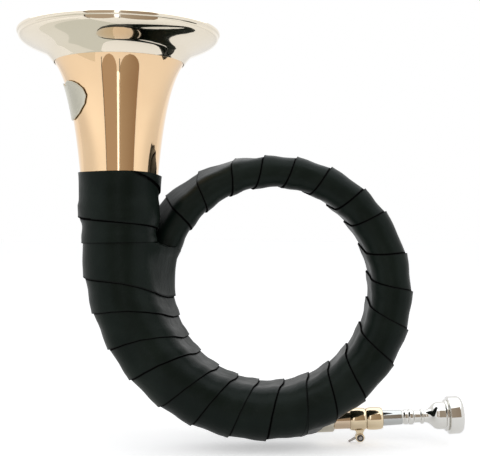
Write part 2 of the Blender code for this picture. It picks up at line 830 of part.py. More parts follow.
def first_mark(turns):
    """First ring plane that all the given passes meet."""
    return ENTRY_ANGLE if len(turns) == 3 else CROTCH_ANGLE


def last_mark(turns):
    """Last ring plane that all the given passes meet."""
    return CROTCH_ANGLE if len(turns) == 3 else 360.0 + ENTRY_ANGLE


def crotch_relief(place):
    """0 where the coil leaves the bell's side, 1 where the leather has room again."""
    run = math.radians(place - CROTCH_ANGLE) * (BEND_RADIUS + COIL_END_RADIUS)
    return min(max(run / CROTCH_SQUEEZE_LENGTH, 0.0), 1.0)


def end_angle_gap():
    """Angle that matches half the gap between two wraps."""
    return math.degrees(WRAP_END_GAP / (BEND_RADIUS + COIL_END_RADIUS))


def build_lower_wrap(material):
    """Leather round all three passes, from the mouthpipe's entry to the crotch."""
    first = ENTRY_ANGLE + end_angle_gap()
    last = CROTCH_ANGLE - end_angle_gap()
    last_regular = LOWER_EDGE + LOWER_PITCH * LOWER_TURNS
    knots = [(LOWER_EDGE, 0.0), (last_regular, LOWER_TURNS), (LOWER_LAST_EDGE, LOWER_TURNS + 1.0)]
    mesh_data = winding(RING_SIDES, knots, first, last, stations(first, last), ring_surface((0, 1, 2)))
    return new_object("leather_wrap_lower", mesh_data, material, sharp=25.0)


def build_upper_wrap(material):
    """Leather round the two small passes, from the crotch over the top to the bottom right."""
    first = CROTCH_ANGLE + end_angle_gap()
    last = 360.0 + ENTRY_ANGLE - end_angle_gap()
    knots = [(UPPER_EDGE, 0.0), (UPPER_EDGE + UPPER_PITCH, 1.0)]
    mesh_data = winding(RING_SIDES, knots, first, last, stations(first, last), ring_surface((0, 1)))
    return new_object("leather_wrap_upper", mesh_data, material, sharp=25.0)


def build_bell_wrap(material):
    """Leather round the bell's throat, above the crotch."""
    crotch_z = ring_plane(CROTCH_ANGLE)[0].y
    first = crotch_z + WRAP_END_GAP
    sleeve_low = BELL_JOINT_Z - JOINT_SLEEVE_LENGTH / 2.0
    sleeve_high = BELL_JOINT_Z + JOINT_SLEEVE_LENGTH / 2.0
    last_edge = BELL_WRAP_FIRST_EDGE + BELL_WRAP_PITCH
    knots = [(BELL_WRAP_FIRST_EDGE, 0.0), (last_edge, 1.0), (BELL_WRAP_TOP, 1.0 + BELL_WRAP_RUN_OUT)]
    bump = 2.0 * GAP + JOINT_SLEEVE_WALL
    bumps = [(first, 0.0), (sleeve_low - 2 * MM, 0.0), (sleeve_low, bump), (sleeve_high, bump),
             (sleeve_high + 2 * MM, 0.0), (BELL_WRAP_TOP, 0.0)]
    places = [first] + [z for z, _ in bumps[1:-1]] + [lerp(sleeve_high, BELL_WRAP_TOP, 0.55), BELL_WRAP_TOP]

    def surface(z, column, thickness):
        around = around_at(column, BELL_SIDES, 0.5)
        squeeze = lerp(CROTCH_SQUEEZE, 1.0, min(max((z - first) / CROTCH_SQUEEZE_LENGTH, 0.0), 1.0))
        radius = (bell_law(z) + GAP) / math.cos(math.pi / BELL_SIDES)
        radius += interpolate(z, bumps) + thickness * squeeze
        return Vector((-radius * math.cos(around), radius * math.sin(around), z))

    mesh_data = winding(BELL_SIDES, knots, first, BELL_WRAP_TOP, places, surface)
    return place_on_bell(new_object("leather_wrap_bell", mesh_data, material, sharp=25.0))


# Mouthpipe

def mouthpipe_axis():
    """Empty on the mouthpipe's axis, at the joint of the two collars."""
    empty = bpy.data.objects.new("mouthpipe_axis", None)
    bpy.context.scene.collection.objects.link(empty)
    spot = mouthpipe_point(0.0)
    empty.location = (spot.x, BACK_Y, spot.y)
    empty.rotation_euler = (0.0, -math.radians(MOUTHPIPE_RISE), 0.0)
    return empty


def tube_profile(start, end, outer, inner):
    """Closed profile of a plain tube."""
    return [(start, inner), (start, outer), (end, outer), (end, inner)]


def barrel_outline(start, end):
    """Outline of a collar that swells towards its middle and is rounded at its ends."""
    shoulder = COLLAR_SHOULDER
    middle = (start + end) / 2.0
    swell = COLLAR_RADIUS - COLLAR_END_RADIUS
    return [(start, COLLAR_END_RADIUS - 0.2 * swell), (start + shoulder, COLLAR_END_RADIUS + 0.45 * swell),
            (lerp(start, middle, 0.5), COLLAR_END_RADIUS + 0.85 * swell), (middle, COLLAR_RADIUS),
            (lerp(middle, end, 0.5), COLLAR_END_RADIUS + 0.85 * swell),
            (end - shoulder, COLLAR_END_RADIUS + 0.45 * swell), (end, COLLAR_END_RADIUS - 0.2 * swell)]


def build_mouthpipe_ferrule(parent, material):
    """Ferrule that joins the coil tube to the mouthpipe, with a bevelled outer end."""
    bore = PIPE_OUTER + GAP
    profile = [(FERRULE_START, bore), (FERRULE_START, FERRULE_RADIUS),
               (FERRULE_END - FERRULE_BEVEL, FERRULE_RADIUS), (FERRULE_END, FERRULE_RADIUS - FERRULE_BEVEL),
               (FERRULE_END, bore)]
    return new_object("mouthpipe_ferrule", turned(profile, COLLAR_SIDES, "X"), material, parent)


def build_mouthpipe(parent, material):
    """Fixed tube that the tuning slide runs in."""
    profile = tube_profile(PIPE_START, -GAP, PIPE_OUTER, PIPE_OUTER - PIPE_WALL)
    return new_object("mouthpipe", turned(profile, COLLAR_SIDES, "X"), material, parent)


def slide_radius():
    """Outer radius of the tuning slide, clear of the mouthpipe's bore."""
    return PIPE_OUTER - PIPE_WALL - GAP


def build_tuning_slide(parent, material):
    """Inner tube of the tuning slide."""
    outer = slide_radius()
    profile = tube_profile(SLIDE_START, SLIDE_SEAT, outer, outer - SLIDE_WALL)
    return new_object("tuning_slide", turned(profile, COLLAR_SIDES, "X"), material, parent)


def build_receiver(parent, material):
    """Collar at the end of the tuning slide that receives the mouthpiece."""
    start, end = GAP / 2.0, GAP / 2.0 + COLLAR_LENGTH
    seat = slide_radius() + GAP
    socket = SHANK_SEAT_RADIUS + 1.5 * GAP
    step = SLIDE_SEAT + GAP
    profile = barrel_outline(start, end) + [(end, socket), (step, socket), (step, seat), (start, seat)]
    return new_object("receiver_collar", turned(profile, COLLAR_SIDES, "X"), material, parent)


def ear_outline():
    """Outline of the ears: a foot under the collar, a neck and a round eye."""
    eye = (EAR_CENTRE, -EAR_DROP)
    foot_z = -COLLAR_END_RADIUS
    neck_z = -COLLAR_RADIUS - 1.2 * MM
    side = math.degrees(math.asin(EAR_NECK / EAR_RADIUS))
    points = [(eye[0] - EAR_FOOT, foot_z), (eye[0] - EAR_FOOT, -COLLAR_RADIUS), (eye[0] - EAR_NECK, neck_z)]
    for step in range(11):
        around = math.radians(lerp(90.0 + side, 450.0 - side, step / 10))
        points.append((eye[0] + EAR_RADIUS * math.cos(around), eye[1] + EAR_RADIUS * math.sin(around)))
    points += [(eye[0] + EAR_NECK, neck_z), (eye[0] + EAR_FOOT, -COLLAR_RADIUS), (eye[0] + EAR_FOOT, foot_z)]
    return points


def build_clamp_collar(parent, material):
    """Split collar round the mouthpipe's end, with two ears for the screw."""
    start, end = -GAP / 2.0 - COLLAR_LENGTH, -GAP / 2.0
    bore = PIPE_OUTER + GAP
    profile = barrel_outline(start, end) + [(end, bore), (start, bore)]
    collar = new_object("clamp_collar", turned(profile, COLLAR_SIDES, "X"), material, parent)
    half = EAR_THICKNESS + SLIT_WIDTH / 2.0
    add_cutter(collar, "ear_block", solid_prism(ear_outline(), -half, half), "UNION")
    slit_low = -EAR_DROP - 2.0 * EAR_RADIUS
    slit_top = -bore / 2.0
    slit = solid_box((start - MM, -SLIT_WIDTH / 2.0, slit_low), (end + MM, SLIT_WIDTH / 2.0, slit_top))
    add_cutter(collar, "collar_slit", slit)
    hole = solid_rod((EAR_CENTRE, 0.0, -EAR_DROP), SCREW_RADIUS + GAP, 4.0 * half, "Y", 16)
    add_cutter(collar, "screw_hole", hole)
    notch = solid_rod((end, -COLLAR_RADIUS, 0.0), NOTCH_RADIUS, 2.0 * MM, "Y", 16)
    add_cutter(collar, "collar_notch", notch)
    return collar


def screw_spot():
    """Place of the screw's axis, in the mouthpipe's own axes."""
    return Vector((EAR_CENTRE, 0.0, -EAR_DROP))


def build_clamp_screw(parent, material):
    """Screw through the ears, with a domed head at the front."""
    face = -EAR_THICKNESS - SLIT_WIDTH / 2.0 - GAP
    back = -face + LEVER_THICKNESS + 0.4 * MM
    profile = [(back, 0.0), (back, SCREW_RADIUS), (face, SCREW_RADIUS), (face, SCREW_HEAD_RADIUS),
               (face - 0.45 * SCREW_HEAD_HEIGHT, SCREW_HEAD_RADIUS),
               (face - 0.8 * SCREW_HEAD_HEIGHT, 0.75 * SCREW_HEAD_RADIUS), (face - SCREW_HEAD_HEIGHT, 0.0)]
    mesh_data = bmesh.new()
    corners = [mesh_data.verts.new((r, s, 0.0)) for s, r in profile]
    edges = [mesh_data.edges.new(pair) for pair in zip(corners, corners[1:])]
    bmesh.ops.spin(mesh_data, geom=corners + edges, cent=(0.0, 0.0, 0.0), axis=(0.0, 1.0, 0.0),
                   angle=2.0 * math.pi, steps=16, use_merge=True, use_duplicate=False)
    bmesh.ops.remove_doubles(mesh_data, verts=mesh_data.verts, dist=0.01 * MM)
    screw = new_object("clamp_screw", mesh_data, material, parent)
    screw.location = screw_spot()
    return screw


def build_clamp_lever(parent, material):
    """Flat lever on the screw's back end, with a round hub and a rounded tip."""
    turn = math.radians(LEVER_ANGLE)
    along = Vector((math.cos(turn), math.sin(turn)))
    across = Vector((-along.y, along.x))
    base = math.degrees(math.asin(LEVER_WIDTH / 2.0 / LEVER_HUB_RADIUS))
    outline = []
    for step in range(13):
        around = math.radians(lerp(base, 360.0 - base, step / 12))
        spot = along * math.cos(around) + across * math.sin(around)
        outline.append(tuple(spot * LEVER_HUB_RADIUS))
    tip = LEVER_LENGTH - LEVER_TIP_WIDTH / 2.0
    for step in range(5):
        around = math.radians(lerp(-90.0, 90.0, step / 4))
        spot = along * (tip + LEVER_TIP_WIDTH / 2.0 * math.cos(around))
        outline.append(tuple(spot + across * (LEVER_TIP_WIDTH / 2.0 * math.sin(around))))
    face = EAR_THICKNESS + SLIT_WIDTH / 2.0 + GAP
    mesh_data = solid_prism(outline, face, face + LEVER_THICKNESS)
    lever = new_object("clamp_lever", mesh_data, material, parent)
    lever.location = screw_spot()
    hole = solid_rod((0.0, face, 0.0), SCREW_RADIUS + 0.15 * MM, 4.0 * LEVER_THICKNESS, "Y", 16)
    add_cutter(lever, "lever_hole", hole)
    return lever


def mouthpiece_profile():
    """Closed (place, radius) profile from the receiver's end: outside, then bore.

    The outside and the cup are drawn 52.4 long and 12.2 in radius, and take their named sizes.
    """
    outside = [(12.6, 4.75), (13.2, 4.3), (14.0, 4.3), (14.6, 4.95), (16.4, 4.95), (17.0, 4.3), (17.9, 5.1),
               (19.9, 5.1), (21.0, 3.9), (25.0, 3.9), (25.4, 4.95), (26.9, 4.95), (27.2, 3.85), (29.2, 4.0),
               (31.6, 5.4), (34.0, 8.0), (36.0, 8.8), (40.8, 8.9), (41.2, 10.3), (42.4, 10.3), (42.8, 9.4),
               (43.3, 12.2), (50.0, 12.2), (51.6, 11.4), (52.4, 10.2)]
    cup = [(52.0, 8.9), (50.2, 8.3), (45.5, 7.3), (40.5, 5.4), (36.5, 3.2)]
    along = MOUTHPIECE_REACH / 52.4
    out = MOUTHPIECE_RADIUS / 12.2
    shoulder = (GAP, SHANK_SEAT_RADIUS + 0.65 * MM)
    shank = [(-SHANK_DEPTH, SHANK_TIP_RADIUS), (GAP / 3.0, SHANK_SEAT_RADIUS), shoulder]
    throat = [(34.5 * along, THROAT_BORE), (31.5 * along, THROAT_BORE), (-SHANK_DEPTH, BACKBORE_RADIUS)]
    drawn = [(place * along, radius * out) for place, radius in outside + cup]
    return shank + drawn + throat


def build_mouthpiece(parent, material):
    """Turned mouthpiece: taper shank, beads, cup and rim, bored through."""
    start = GAP / 2.0 + COLLAR_LENGTH
    profile = [(start + place, radius) for place, radius in mouthpiece_profile()]
    return new_object("mouthpiece", turned(profile, MOUTHPIECE_SIDES, "X"), material, parent, sharp=30.0)


def clear_scene():
    """Remove the objects that the file opened with."""
    for item in list(bpy.data.objects):
        bpy.data.objects.remove(item, do_unlink=True)


def build():
    """Build every piece of the horn."""
    clear_scene()
    brass = new_material("gold_brass", (0.83, 0.60, 0.33), 0.18, 1.0)
    rose_brass = new_material("rose_brass", (0.80, 0.62, 0.47), 0.22, 1.0)
    nickel_silver = new_material("nickel_silver", (0.70, 0.66, 0.56), 0.2, 1.0)
    silver = new_material("silver_plate", (0.90, 0.90, 0.88), 0.12, 1.0)
    steel = new_material("screw_steel", (0.50, 0.50, 0.52), 0.3, 1.0)
    leather = new_material("binding_leather", (0.10, 0.115, 0.105), 0.55, 0.0)

    build_coil_tube(brass)
    build_coil_ferrule(nickel_silver)
    build_bow_tube(brass)
    build_bell_ferrule(nickel_silver)
    build_bell(brass)
    build_garland(nickel_silver)
    build_rim_wire(steel)
    build_badge(nickel_silver)
    build_lower_wrap(leather)
    build_upper_wrap(leather)
    build_bell_wrap(leather)

    axis = mouthpipe_axis()
    build_mouthpipe_ferrule(axis, nickel_silver)
    build_mouthpipe(axis, brass)
    build_clamp_collar(axis, rose_brass)
    build_clamp_screw(axis, steel)
    build_clamp_lever(axis, steel)
    build_tuning_slide(axis, nickel_silver)
    build_receiver(axis, rose_brass)
    build_mouthpiece(axis, silver)
    bpy.context.view_layer.update()


build()
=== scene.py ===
import logging
import math
from collections.abc import Callable, Sequence
from dataclasses import dataclass, field
from enum import Enum

import bmesh
import bpy
import numpy as np
from mathutils import Matrix, Vector, noise


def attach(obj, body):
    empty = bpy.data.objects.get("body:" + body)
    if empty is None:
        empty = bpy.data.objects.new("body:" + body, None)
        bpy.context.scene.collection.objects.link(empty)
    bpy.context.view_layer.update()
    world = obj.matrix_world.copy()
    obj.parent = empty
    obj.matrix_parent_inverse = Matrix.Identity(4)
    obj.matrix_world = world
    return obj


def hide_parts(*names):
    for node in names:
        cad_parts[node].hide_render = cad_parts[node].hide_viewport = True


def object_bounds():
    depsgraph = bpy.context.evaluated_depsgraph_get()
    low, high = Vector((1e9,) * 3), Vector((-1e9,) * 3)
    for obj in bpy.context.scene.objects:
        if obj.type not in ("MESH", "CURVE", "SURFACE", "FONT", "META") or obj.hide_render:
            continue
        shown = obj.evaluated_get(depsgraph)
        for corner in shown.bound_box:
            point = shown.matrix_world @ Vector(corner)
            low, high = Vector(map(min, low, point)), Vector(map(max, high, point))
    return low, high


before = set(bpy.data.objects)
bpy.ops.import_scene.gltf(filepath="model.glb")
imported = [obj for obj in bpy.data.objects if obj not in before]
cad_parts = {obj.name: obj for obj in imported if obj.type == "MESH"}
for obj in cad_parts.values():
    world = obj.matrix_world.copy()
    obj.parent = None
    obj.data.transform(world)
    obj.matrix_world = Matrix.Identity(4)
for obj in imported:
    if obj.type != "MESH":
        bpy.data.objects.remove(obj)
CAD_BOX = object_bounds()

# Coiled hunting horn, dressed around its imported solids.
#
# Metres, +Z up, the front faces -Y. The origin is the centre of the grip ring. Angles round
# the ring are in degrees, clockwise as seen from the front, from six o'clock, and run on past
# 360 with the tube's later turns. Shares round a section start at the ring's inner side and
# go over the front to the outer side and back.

MM = 0.001
GAP = 0.3 * MM
LOG = logging.getLogger("hunting_horn")

Profile = Sequence[tuple[float, ...]]
Colour = tuple[float, float, float]


class TurnAxis(Enum):
    """Axis that a turned piece, or the marks of its polishing, runs round."""

    BELL = (0.0, 0.0, 1.0)
    PIPE = (1.0, 0.0, 0.0)
    SCREW = (0.0, 1.0, 0.0)


class Body(Enum):
    """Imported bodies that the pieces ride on."""

    HORN = "horn"
    LEVER_SCREW = "lever_screw"
    SLIDE = "slide"
    MOUTHPIECE = "mouthpiece_body"


class Slot(Enum):
    """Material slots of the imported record."""

    BRASS = "brass"
    ROSE_BRASS = "rose_brass"
    NICKEL_SILVER = "nickel_silver"
    SILVER_PLATE = "silver_plate"
    STEEL = "steel"
    LEATHER = "leather"


def lerp(start: float, end: float, share: float) -> float:
    """Value a share of the way from start to end."""
    return start + (end - start) * share


def smooth(share: np.ndarray | float) -> np.ndarray | float:
    """Ease from 0 to 1 with level ends, for a number or an array."""
    share = np.clip(share, 0.0, 1.0)
    return share * share * (3.0 - 2.0 * share)


def bezier(points: Sequence[np.ndarray], share: float) -> np.ndarray:
    """Point on a cubic curve with four control points."""
    rest = 1.0 - share
    weights = (rest ** 3, 3 * share * rest ** 2, 3 * share ** 2 * rest, share ** 3)
    return sum(np.asarray(point) * weight for point, weight in zip(points, weights))


def polar(radius: float, angle: float) -> np.ndarray:
    """X and Z of a point at a radius and an angle round the grip ring."""
    turn = math.radians(angle)
    return np.array((-radius * math.sin(turn), -radius * math.cos(turn)))


def level_ring(around: np.ndarray) -> np.ndarray:
    """Level directions at angles round an upright axis."""
    return np.stack((-np.cos(around), np.sin(around), np.zeros_like(around)), -1)


def run_along(line: np.ndarray) -> np.ndarray:
    """Distance of each point of a line from its first one, along it."""
    return np.concatenate(((0.0,), np.cumsum(np.linalg.norm(np.diff(line, axis=0), axis=1))))


def looked_up(wanted: np.ndarray | float, marks: np.ndarray, table: np.ndarray) -> np.ndarray:
    """Rows of a table at the wanted marks."""
    return np.stack([np.interp(wanted, marks, column) for column in table.T], -1)


def grain_at(place: tuple[float, float, float]) -> float:
    """Soft noise between about -1 and 1 at a place."""
    return noise.noise(Vector(place))


# Finishes

class NodeWork:
    """Nodes of one tree, added one after another."""

    def __init__(self, tree: bpy.types.NodeTree) -> None:
        """Work on a tree."""
        self.tree = tree

    def node(self, kind: str, inputs: dict | None = None, **settings: object) -> bpy.types.Node:
        """Add a node.

        Args:
            kind: The node's type name.
            inputs: Sockets by name or number, each with a value or another socket.
            **settings: Properties of the node itself.

        Returns:
            The new node.
        """
        made = self.tree.nodes.new(kind)
        for name, value in settings.items():
            setattr(made, name, value)
        self.feed(made, inputs or {})
        return made

    def feed(self, node: bpy.types.Node, inputs: dict) -> None:
        """Link a node's sockets to other ones, or set their values."""
        for name, value in inputs.items():
            if isinstance(value, bpy.types.NodeSocket):
                self.tree.links.new(value, node.inputs[name])
            else:
                node.inputs[name].default_value = value

    def math(self, kind: str, first: object, second: object) -> bpy.types.NodeSocket:
        """Sum, product or the like of two values."""
        return self.node("ShaderNodeMath", {0: first, 1: second}, operation=kind).outputs[0]


class Shading(NodeWork):
    """One material with its Principled shader."""

    def __init__(self, name: str) -> None:
        """Start a material under a name."""
        self.material = bpy.data.materials.new(name)
        self.material.use_nodes = True
        super().__init__(self.material.node_tree)
        self.shader = self.tree.nodes["Principled BSDF"]
        self.place = self.node("ShaderNodeTexCoord").outputs["Object"]

    def dress(self, inputs: dict) -> None:
        """Link or set sockets of the shader."""
        self.feed(self.shader, inputs)

    def mapped(self, vector: bpy.types.NodeSocket, inputs: dict) -> bpy.types.NodeSocket:
        """Vector turned or stretched by a mapping's inputs."""
        return self.node("ShaderNodeMapping", {"Vector": vector, **inputs}).outputs[0]

    def noise(self, scale: float, detail: float = 2.0, vector: bpy.types.NodeSocket | None = None,
              distortion: float = 0.0) -> bpy.types.NodeSocket:
        """Noise between 0 and 1, on object coordinates unless a vector is given."""
        inputs = {"Vector": vector or self.place, "Scale": scale, "Detail": detail,
                  "Distortion": distortion}
        return self.node("ShaderNodeTexNoise", inputs).outputs[0]

    def span(self, value: bpy.types.NodeSocket, low: float, high: float,
             start: float = 0.0, end: float = 1.0) -> bpy.types.NodeSocket:
        """Value between low and high brought to between start and end."""
        inputs = {"Value": value, "From Min": low, "From Max": high, "To Min": start, "To Max": end}
        return self.node("ShaderNodeMapRange", inputs).outputs[0]

    def mix(self, factor: object, first: object, second: object) -> bpy.types.NodeSocket:
        """Colour a share of the way from the first to the second."""
        made = self.node("ShaderNodeMix", {"Factor": factor}, data_type="RGBA")
        numbers = [index for index, socket in enumerate(made.inputs) if socket.type == "RGBA"]
        colours = [(*value, 1.0) if isinstance(value, tuple) else value for value in (first, second)]
        self.feed(made, dict(zip(numbers, colours)))
        return next(socket for socket in made.outputs if socket.type == "RGBA")

    def bump(self, height: bpy.types.NodeSocket, distance: float, strength: float = 1.0) -> None:
        """Raise the surface by a height, on top of what is raised already."""
        normal = self.shader.inputs["Normal"]
        inputs = {"Height": height, "Distance": distance, "Strength": strength}
        made = self.node("ShaderNodeBump", inputs)
        if normal.is_linked:
            self.feed(made, {"Normal": normal.links[0].from_socket})
        self.dress({"Normal": made.outputs[0]})


class Finish:
    """Look of one material, which all pieces that wear it share."""

    name: str
    slot: Slot

    def material(self) -> bpy.types.Material:
        """Build the material, or find it if a piece already wears it."""
        known = bpy.data.materials.get(self.name)
        if known is None:
            shading = Shading(self.name)
            self.shade(shading)
            known = shading.material
        return known

    def shade(self, shading: Shading) -> None:
        """Fill in the material's nodes."""
        raise NotImplementedError


@dataclass(frozen=True)
class PlateFinish(Finish):
    """Polished metal with hazy hand marks, a little tarnish and fine turning marks."""

    name: str
    slot: Slot
    colour: Colour
    tarnish: Colour
    roughness: float
    haze: float = 0.05
    tarnish_share: float = 0.35
    coat: float = 0.0
    coat_roughness: float = 0.04
    turning: TurnAxis = TurnAxis.BELL
    turning_scale: float = 900.0
    turning_depth: float = 0.0012 * MM
    rise: float = 0.0
    cloud_scale: float = 34.0
    speck_scale: float = 260.0
    dent_scale: float = 55.0
    dent_depth: float = 0.02 * MM

    def shade(self, shading: Shading) -> None:
        """Fill in the material's nodes."""
        cloud = shading.noise(self.cloud_scale, 4.0, distortion=0.4)
        clouded = shading.math("MULTIPLY", shading.span(cloud, 0.42, 0.75), self.tarnish_share)
        haze = shading.math("MULTIPLY", shading.span(cloud, 0.35, 0.75), self.haze)
        specks = shading.span(shading.noise(self.speck_scale, 3.0), 0.5, 0.8)
        haze = shading.math("ADD", haze, shading.math("MULTIPLY", specks, self.haze * 0.5))
        shading.dress({"Base Color": shading.mix(clouded, self.colour, self.tarnish),
                       "Roughness": shading.math("ADD", haze, self.roughness), "Metallic": 1.0,
                       "Coat Weight": self.coat, "Coat Roughness": self.coat_roughness})
        level = shading.mapped(shading.place, {"Rotation": (0.0, math.radians(self.rise), 0.0)})
        along = [self.turning_scale * part + 2.0 for part in self.turning.value]
        marks = shading.noise(1.0, 3.0, shading.mapped(level, {"Scale": along}))
        shading.bump(marks, self.turning_depth, 0.35)
        shading.bump(shading.noise(self.dent_scale, 1.0), self.dent_depth, 0.25)


@dataclass(frozen=True)
class LeatherFinish(Finish):
    """Black binding leather: fine grain, soft dents, stretch marks and dull, dark edges, whose dark bands
    are partly the cut edge's own black and partly painted shade where each strip meets the next.
    """

    name: str = "binding_leather"
    slot: Slot = Slot.LEATHER
    colour: Colour = (0.0030, 0.0068, 0.0048)
    worn: Colour = (0.0078, 0.0132, 0.0100)
    edge_dye_and_seam_shade: Colour = (0.0014, 0.0017, 0.0015)
    roughness: float = 0.36
    edge_roughness: float = 0.4
    specular: float = 0.11
    edge_share: float = 0.032
    dent_depth: float = 0.35 * MM
    stretch: tuple[float, float, float] = (26.0, 3.0, 1.0)
    stretch_depth: float = 0.28 * MM
    pore_scale: float = 900.0
    pore_depth: float = 0.06 * MM

    def shade(self, shading: Shading) -> None:
        """Fill in the material's nodes."""
        strip = shading.node("ShaderNodeUVMap", uv_map=STRIP_UV).outputs[0]
        across = shading.node("ShaderNodeSeparateXYZ", {"Vector": strip}).outputs[1]
        worn = shading.span(shading.noise(28.0, 5.0, distortion=0.6), 0.40, 0.72)
        # Dark bands at both edges of the strip: partly the black of the cut edge, partly painted shade at
        # the step where the next strip lies over it.
        near_cut = shading.span(across, 0.0, self.edge_share, 1.0, 0.0)
        shade_near_next = shading.span(across, 1.0 - 1.8 * self.edge_share, 1.0 - 0.4 * self.edge_share)
        dark = shading.math("MAXIMUM", near_cut, shade_near_next)
        rub = shading.span(shading.noise(60.0, 4.0), 0.3, 0.7, -0.07, 0.09)
        rough = shading.math("ADD", shading.math("MULTIPLY", dark, self.edge_roughness), self.roughness)
        body = shading.mix(worn, self.colour, self.worn)
        shading.dress({"Base Color": shading.mix(dark, body, self.edge_dye_and_seam_shade),
                       "Roughness": shading.math("ADD", rough, rub),
                       "Specular IOR Level": self.specular})
        shading.bump(shading.noise(75.0, 3.0, distortion=0.8), self.dent_depth, 0.55)
        stretched = shading.mapped(strip, {"Scale": self.stretch})
        shading.bump(shading.noise(1.0, 3.0, stretched, 0.5), self.stretch_depth, 0.6)
        pores = shading.node("ShaderNodeTexVoronoi", {"Vector": shading.place, "Scale": self.pore_scale})
        shading.bump(pores.outputs[0], self.pore_depth, 0.5)


@dataclass(frozen=True)
class CutEdgeAndShadeFinish(Finish):
    """Raw, black-stained edge of the leather strip, and painted shade in the fold beside it and along the
    exposed edge: fibrous and dull.
    """

    name: str = "binding_leather_cut_edge_and_painted_shade"
    slot: Slot = Slot.LEATHER
    colour: Colour = (0.0003, 0.0004, 0.0003)
    fibre: Colour = (0.0010, 0.0010, 0.0009)
    fibre_scale: float = 700.0
    fibre_depth: float = 0.08 * MM
    specular: float = 0.02

    def shade(self, shading: Shading) -> None:
        """Fill in the material's nodes."""
        fibres = shading.noise(self.fibre_scale, 4.0)
        shading.dress({"Base Color": shading.mix(fibres, self.colour, self.fibre),
                       "Roughness": shading.span(fibres, 0.2, 0.8, 0.75, 0.95),
                       "Specular IOR Level": self.specular})
        shading.bump(fibres, self.fibre_depth, 0.6)


STRIP_UV = "strip"
ON_PIPE = {"turning": TurnAxis.PIPE, "rise": 2.5}
GOLD_BRASS = PlateFinish("lacquered_gold_brass", Slot.BRASS, (0.87, 0.62, 0.375), (0.74, 0.47, 0.25),
                         0.045, haze=0.035, tarnish_share=0.22, coat=0.25)
BARE_BRASS = PlateFinish("bare_brass", Slot.BRASS, (0.78, 0.57, 0.33), (0.50, 0.34, 0.19),
                         0.22, haze=0.12)
PIPE_BRASS = PlateFinish("mouthpipe_brass", Slot.BRASS, (0.66, 0.52, 0.38), (0.48, 0.36, 0.24),
                         0.10, **ON_PIPE)
ROSE_BRASS = PlateFinish("collar_rose_brass", Slot.ROSE_BRASS, (0.74, 0.61, 0.42), (0.46, 0.35, 0.21),
                         0.075, haze=0.06, turning_depth=0.004 * MM, **ON_PIPE)
GARLAND_SILVER = PlateFinish("garland_nickel_silver", Slot.NICKEL_SILVER, (0.84, 0.76, 0.63),
                             (0.72, 0.65, 0.51), 0.035, haze=0.03, tarnish_share=0.25)
BADGE_SILVER = PlateFinish("badge_nickel_silver", Slot.NICKEL_SILVER, (0.56, 0.54, 0.45),
                           (0.42, 0.39, 0.31), 0.16, haze=0.08)
PIPE_SILVER = PlateFinish("slide_nickel_silver", Slot.NICKEL_SILVER, (0.60, 0.56, 0.47),
                          (0.46, 0.42, 0.34), 0.12, **ON_PIPE)
SILVER_PLATE = PlateFinish("mouthpiece_silver_plate", Slot.SILVER_PLATE, (0.71, 0.70, 0.67),
                           (0.60, 0.58, 0.52), 0.05, haze=0.03, tarnish_share=0.16, **ON_PIPE)
# Darker copy of the mouthpiece's silver plate, painted on its shank as shade and darker reflection.
SHADED_SHANK_PLATE = PlateFinish("mouthpiece_shank_plate_painted_shade", Slot.SILVER_PLATE, (0.50, 0.51, 0.50),
                          (0.40, 0.40, 0.37), 0.07, haze=0.05, tarnish_share=0.3, **ON_PIPE)
SCREW_STEEL = PlateFinish("screw_steel", Slot.STEEL, (0.44, 0.42, 0.41), (0.27, 0.25, 0.24),
                          0.2, haze=0.12, turning=TurnAxis.SCREW)
# Near-black steel painted into the screw head's groove as shade and dark reflection.
GROOVE_SHADE = PlateFinish("screw_groove_painted_shade", Slot.STEEL, (0.03, 0.03, 0.032), (0.05, 0.045, 0.04),
                        0.45, turning=TurnAxis.SCREW)
WIRE_STEEL = PlateFinish("rim_wire_steel", Slot.STEEL, (0.50, 0.50, 0.50), (0.34, 0.32, 0.30),
                         0.35, haze=0.15)
LEATHER = LeatherFinish()
# Near-black finish of the strip's cut edges, also painted as shade into the folds and along the bell
# run's exposed edge.
CUT_EDGE_AND_SHADE = CutEdgeAndShadeFinish()


# Pieces

def stand(name: str, mesh_data: bmesh.types.BMesh,
          materials: Sequence[bpy.types.Material] = ()) -> bpy.types.Object:
    """Put a bmesh into the scene as an object with its materials, and free it."""
    mesh = bpy.data.meshes.new(name)
    mesh_data.to_mesh(mesh)
    mesh_data.free()
    for material in materials:
        mesh.materials.append(material)
    item = bpy.data.objects.new(name, mesh)
    bpy.context.scene.collection.objects.link(item)
    return item


def add_piece(name: str, mesh_data: bmesh.types.BMesh, finishes: Sequence[Finish], body: Body,
              node: str, sharp: float = 35.0) -> bpy.types.Object:
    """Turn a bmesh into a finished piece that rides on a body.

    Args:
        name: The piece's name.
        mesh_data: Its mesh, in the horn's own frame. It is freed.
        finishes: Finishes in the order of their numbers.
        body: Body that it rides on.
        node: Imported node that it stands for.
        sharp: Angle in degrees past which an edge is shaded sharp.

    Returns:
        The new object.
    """
    item = stand(name, mesh_data, [finish.material() for finish in finishes])
    item.data.shade_smooth()
    item.data.set_sharp_from_angle(angle=math.radians(sharp))
    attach(item, body.value)
    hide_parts(node)
    LOG.info("%s: %d faces on %s", name, len(item.data.polygons), body.value)
    return item


def thicken(item: bpy.types.Object, thickness: float, offset: float = -1.0) -> bpy.types.Modifier:
    """Give a sheet its thickness, inwards unless the offset is 1."""
    wall = item.modifiers.new("thickness", "SOLIDIFY")
    wall.thickness = thickness
    wall.offset = offset
    return wall


def round_edges(item: bpy.types.Object, width: float, angle: float) -> bpy.types.Modifier:
    """Round the edges that are sharper than an angle in degrees."""
    edge = item.modifiers.new("rounded_edges", "BEVEL")
    edge.width = width
    edge.segments = 2
    edge.limit_method = "ANGLE"
    edge.angle_limit = math.radians(angle)
    return edge


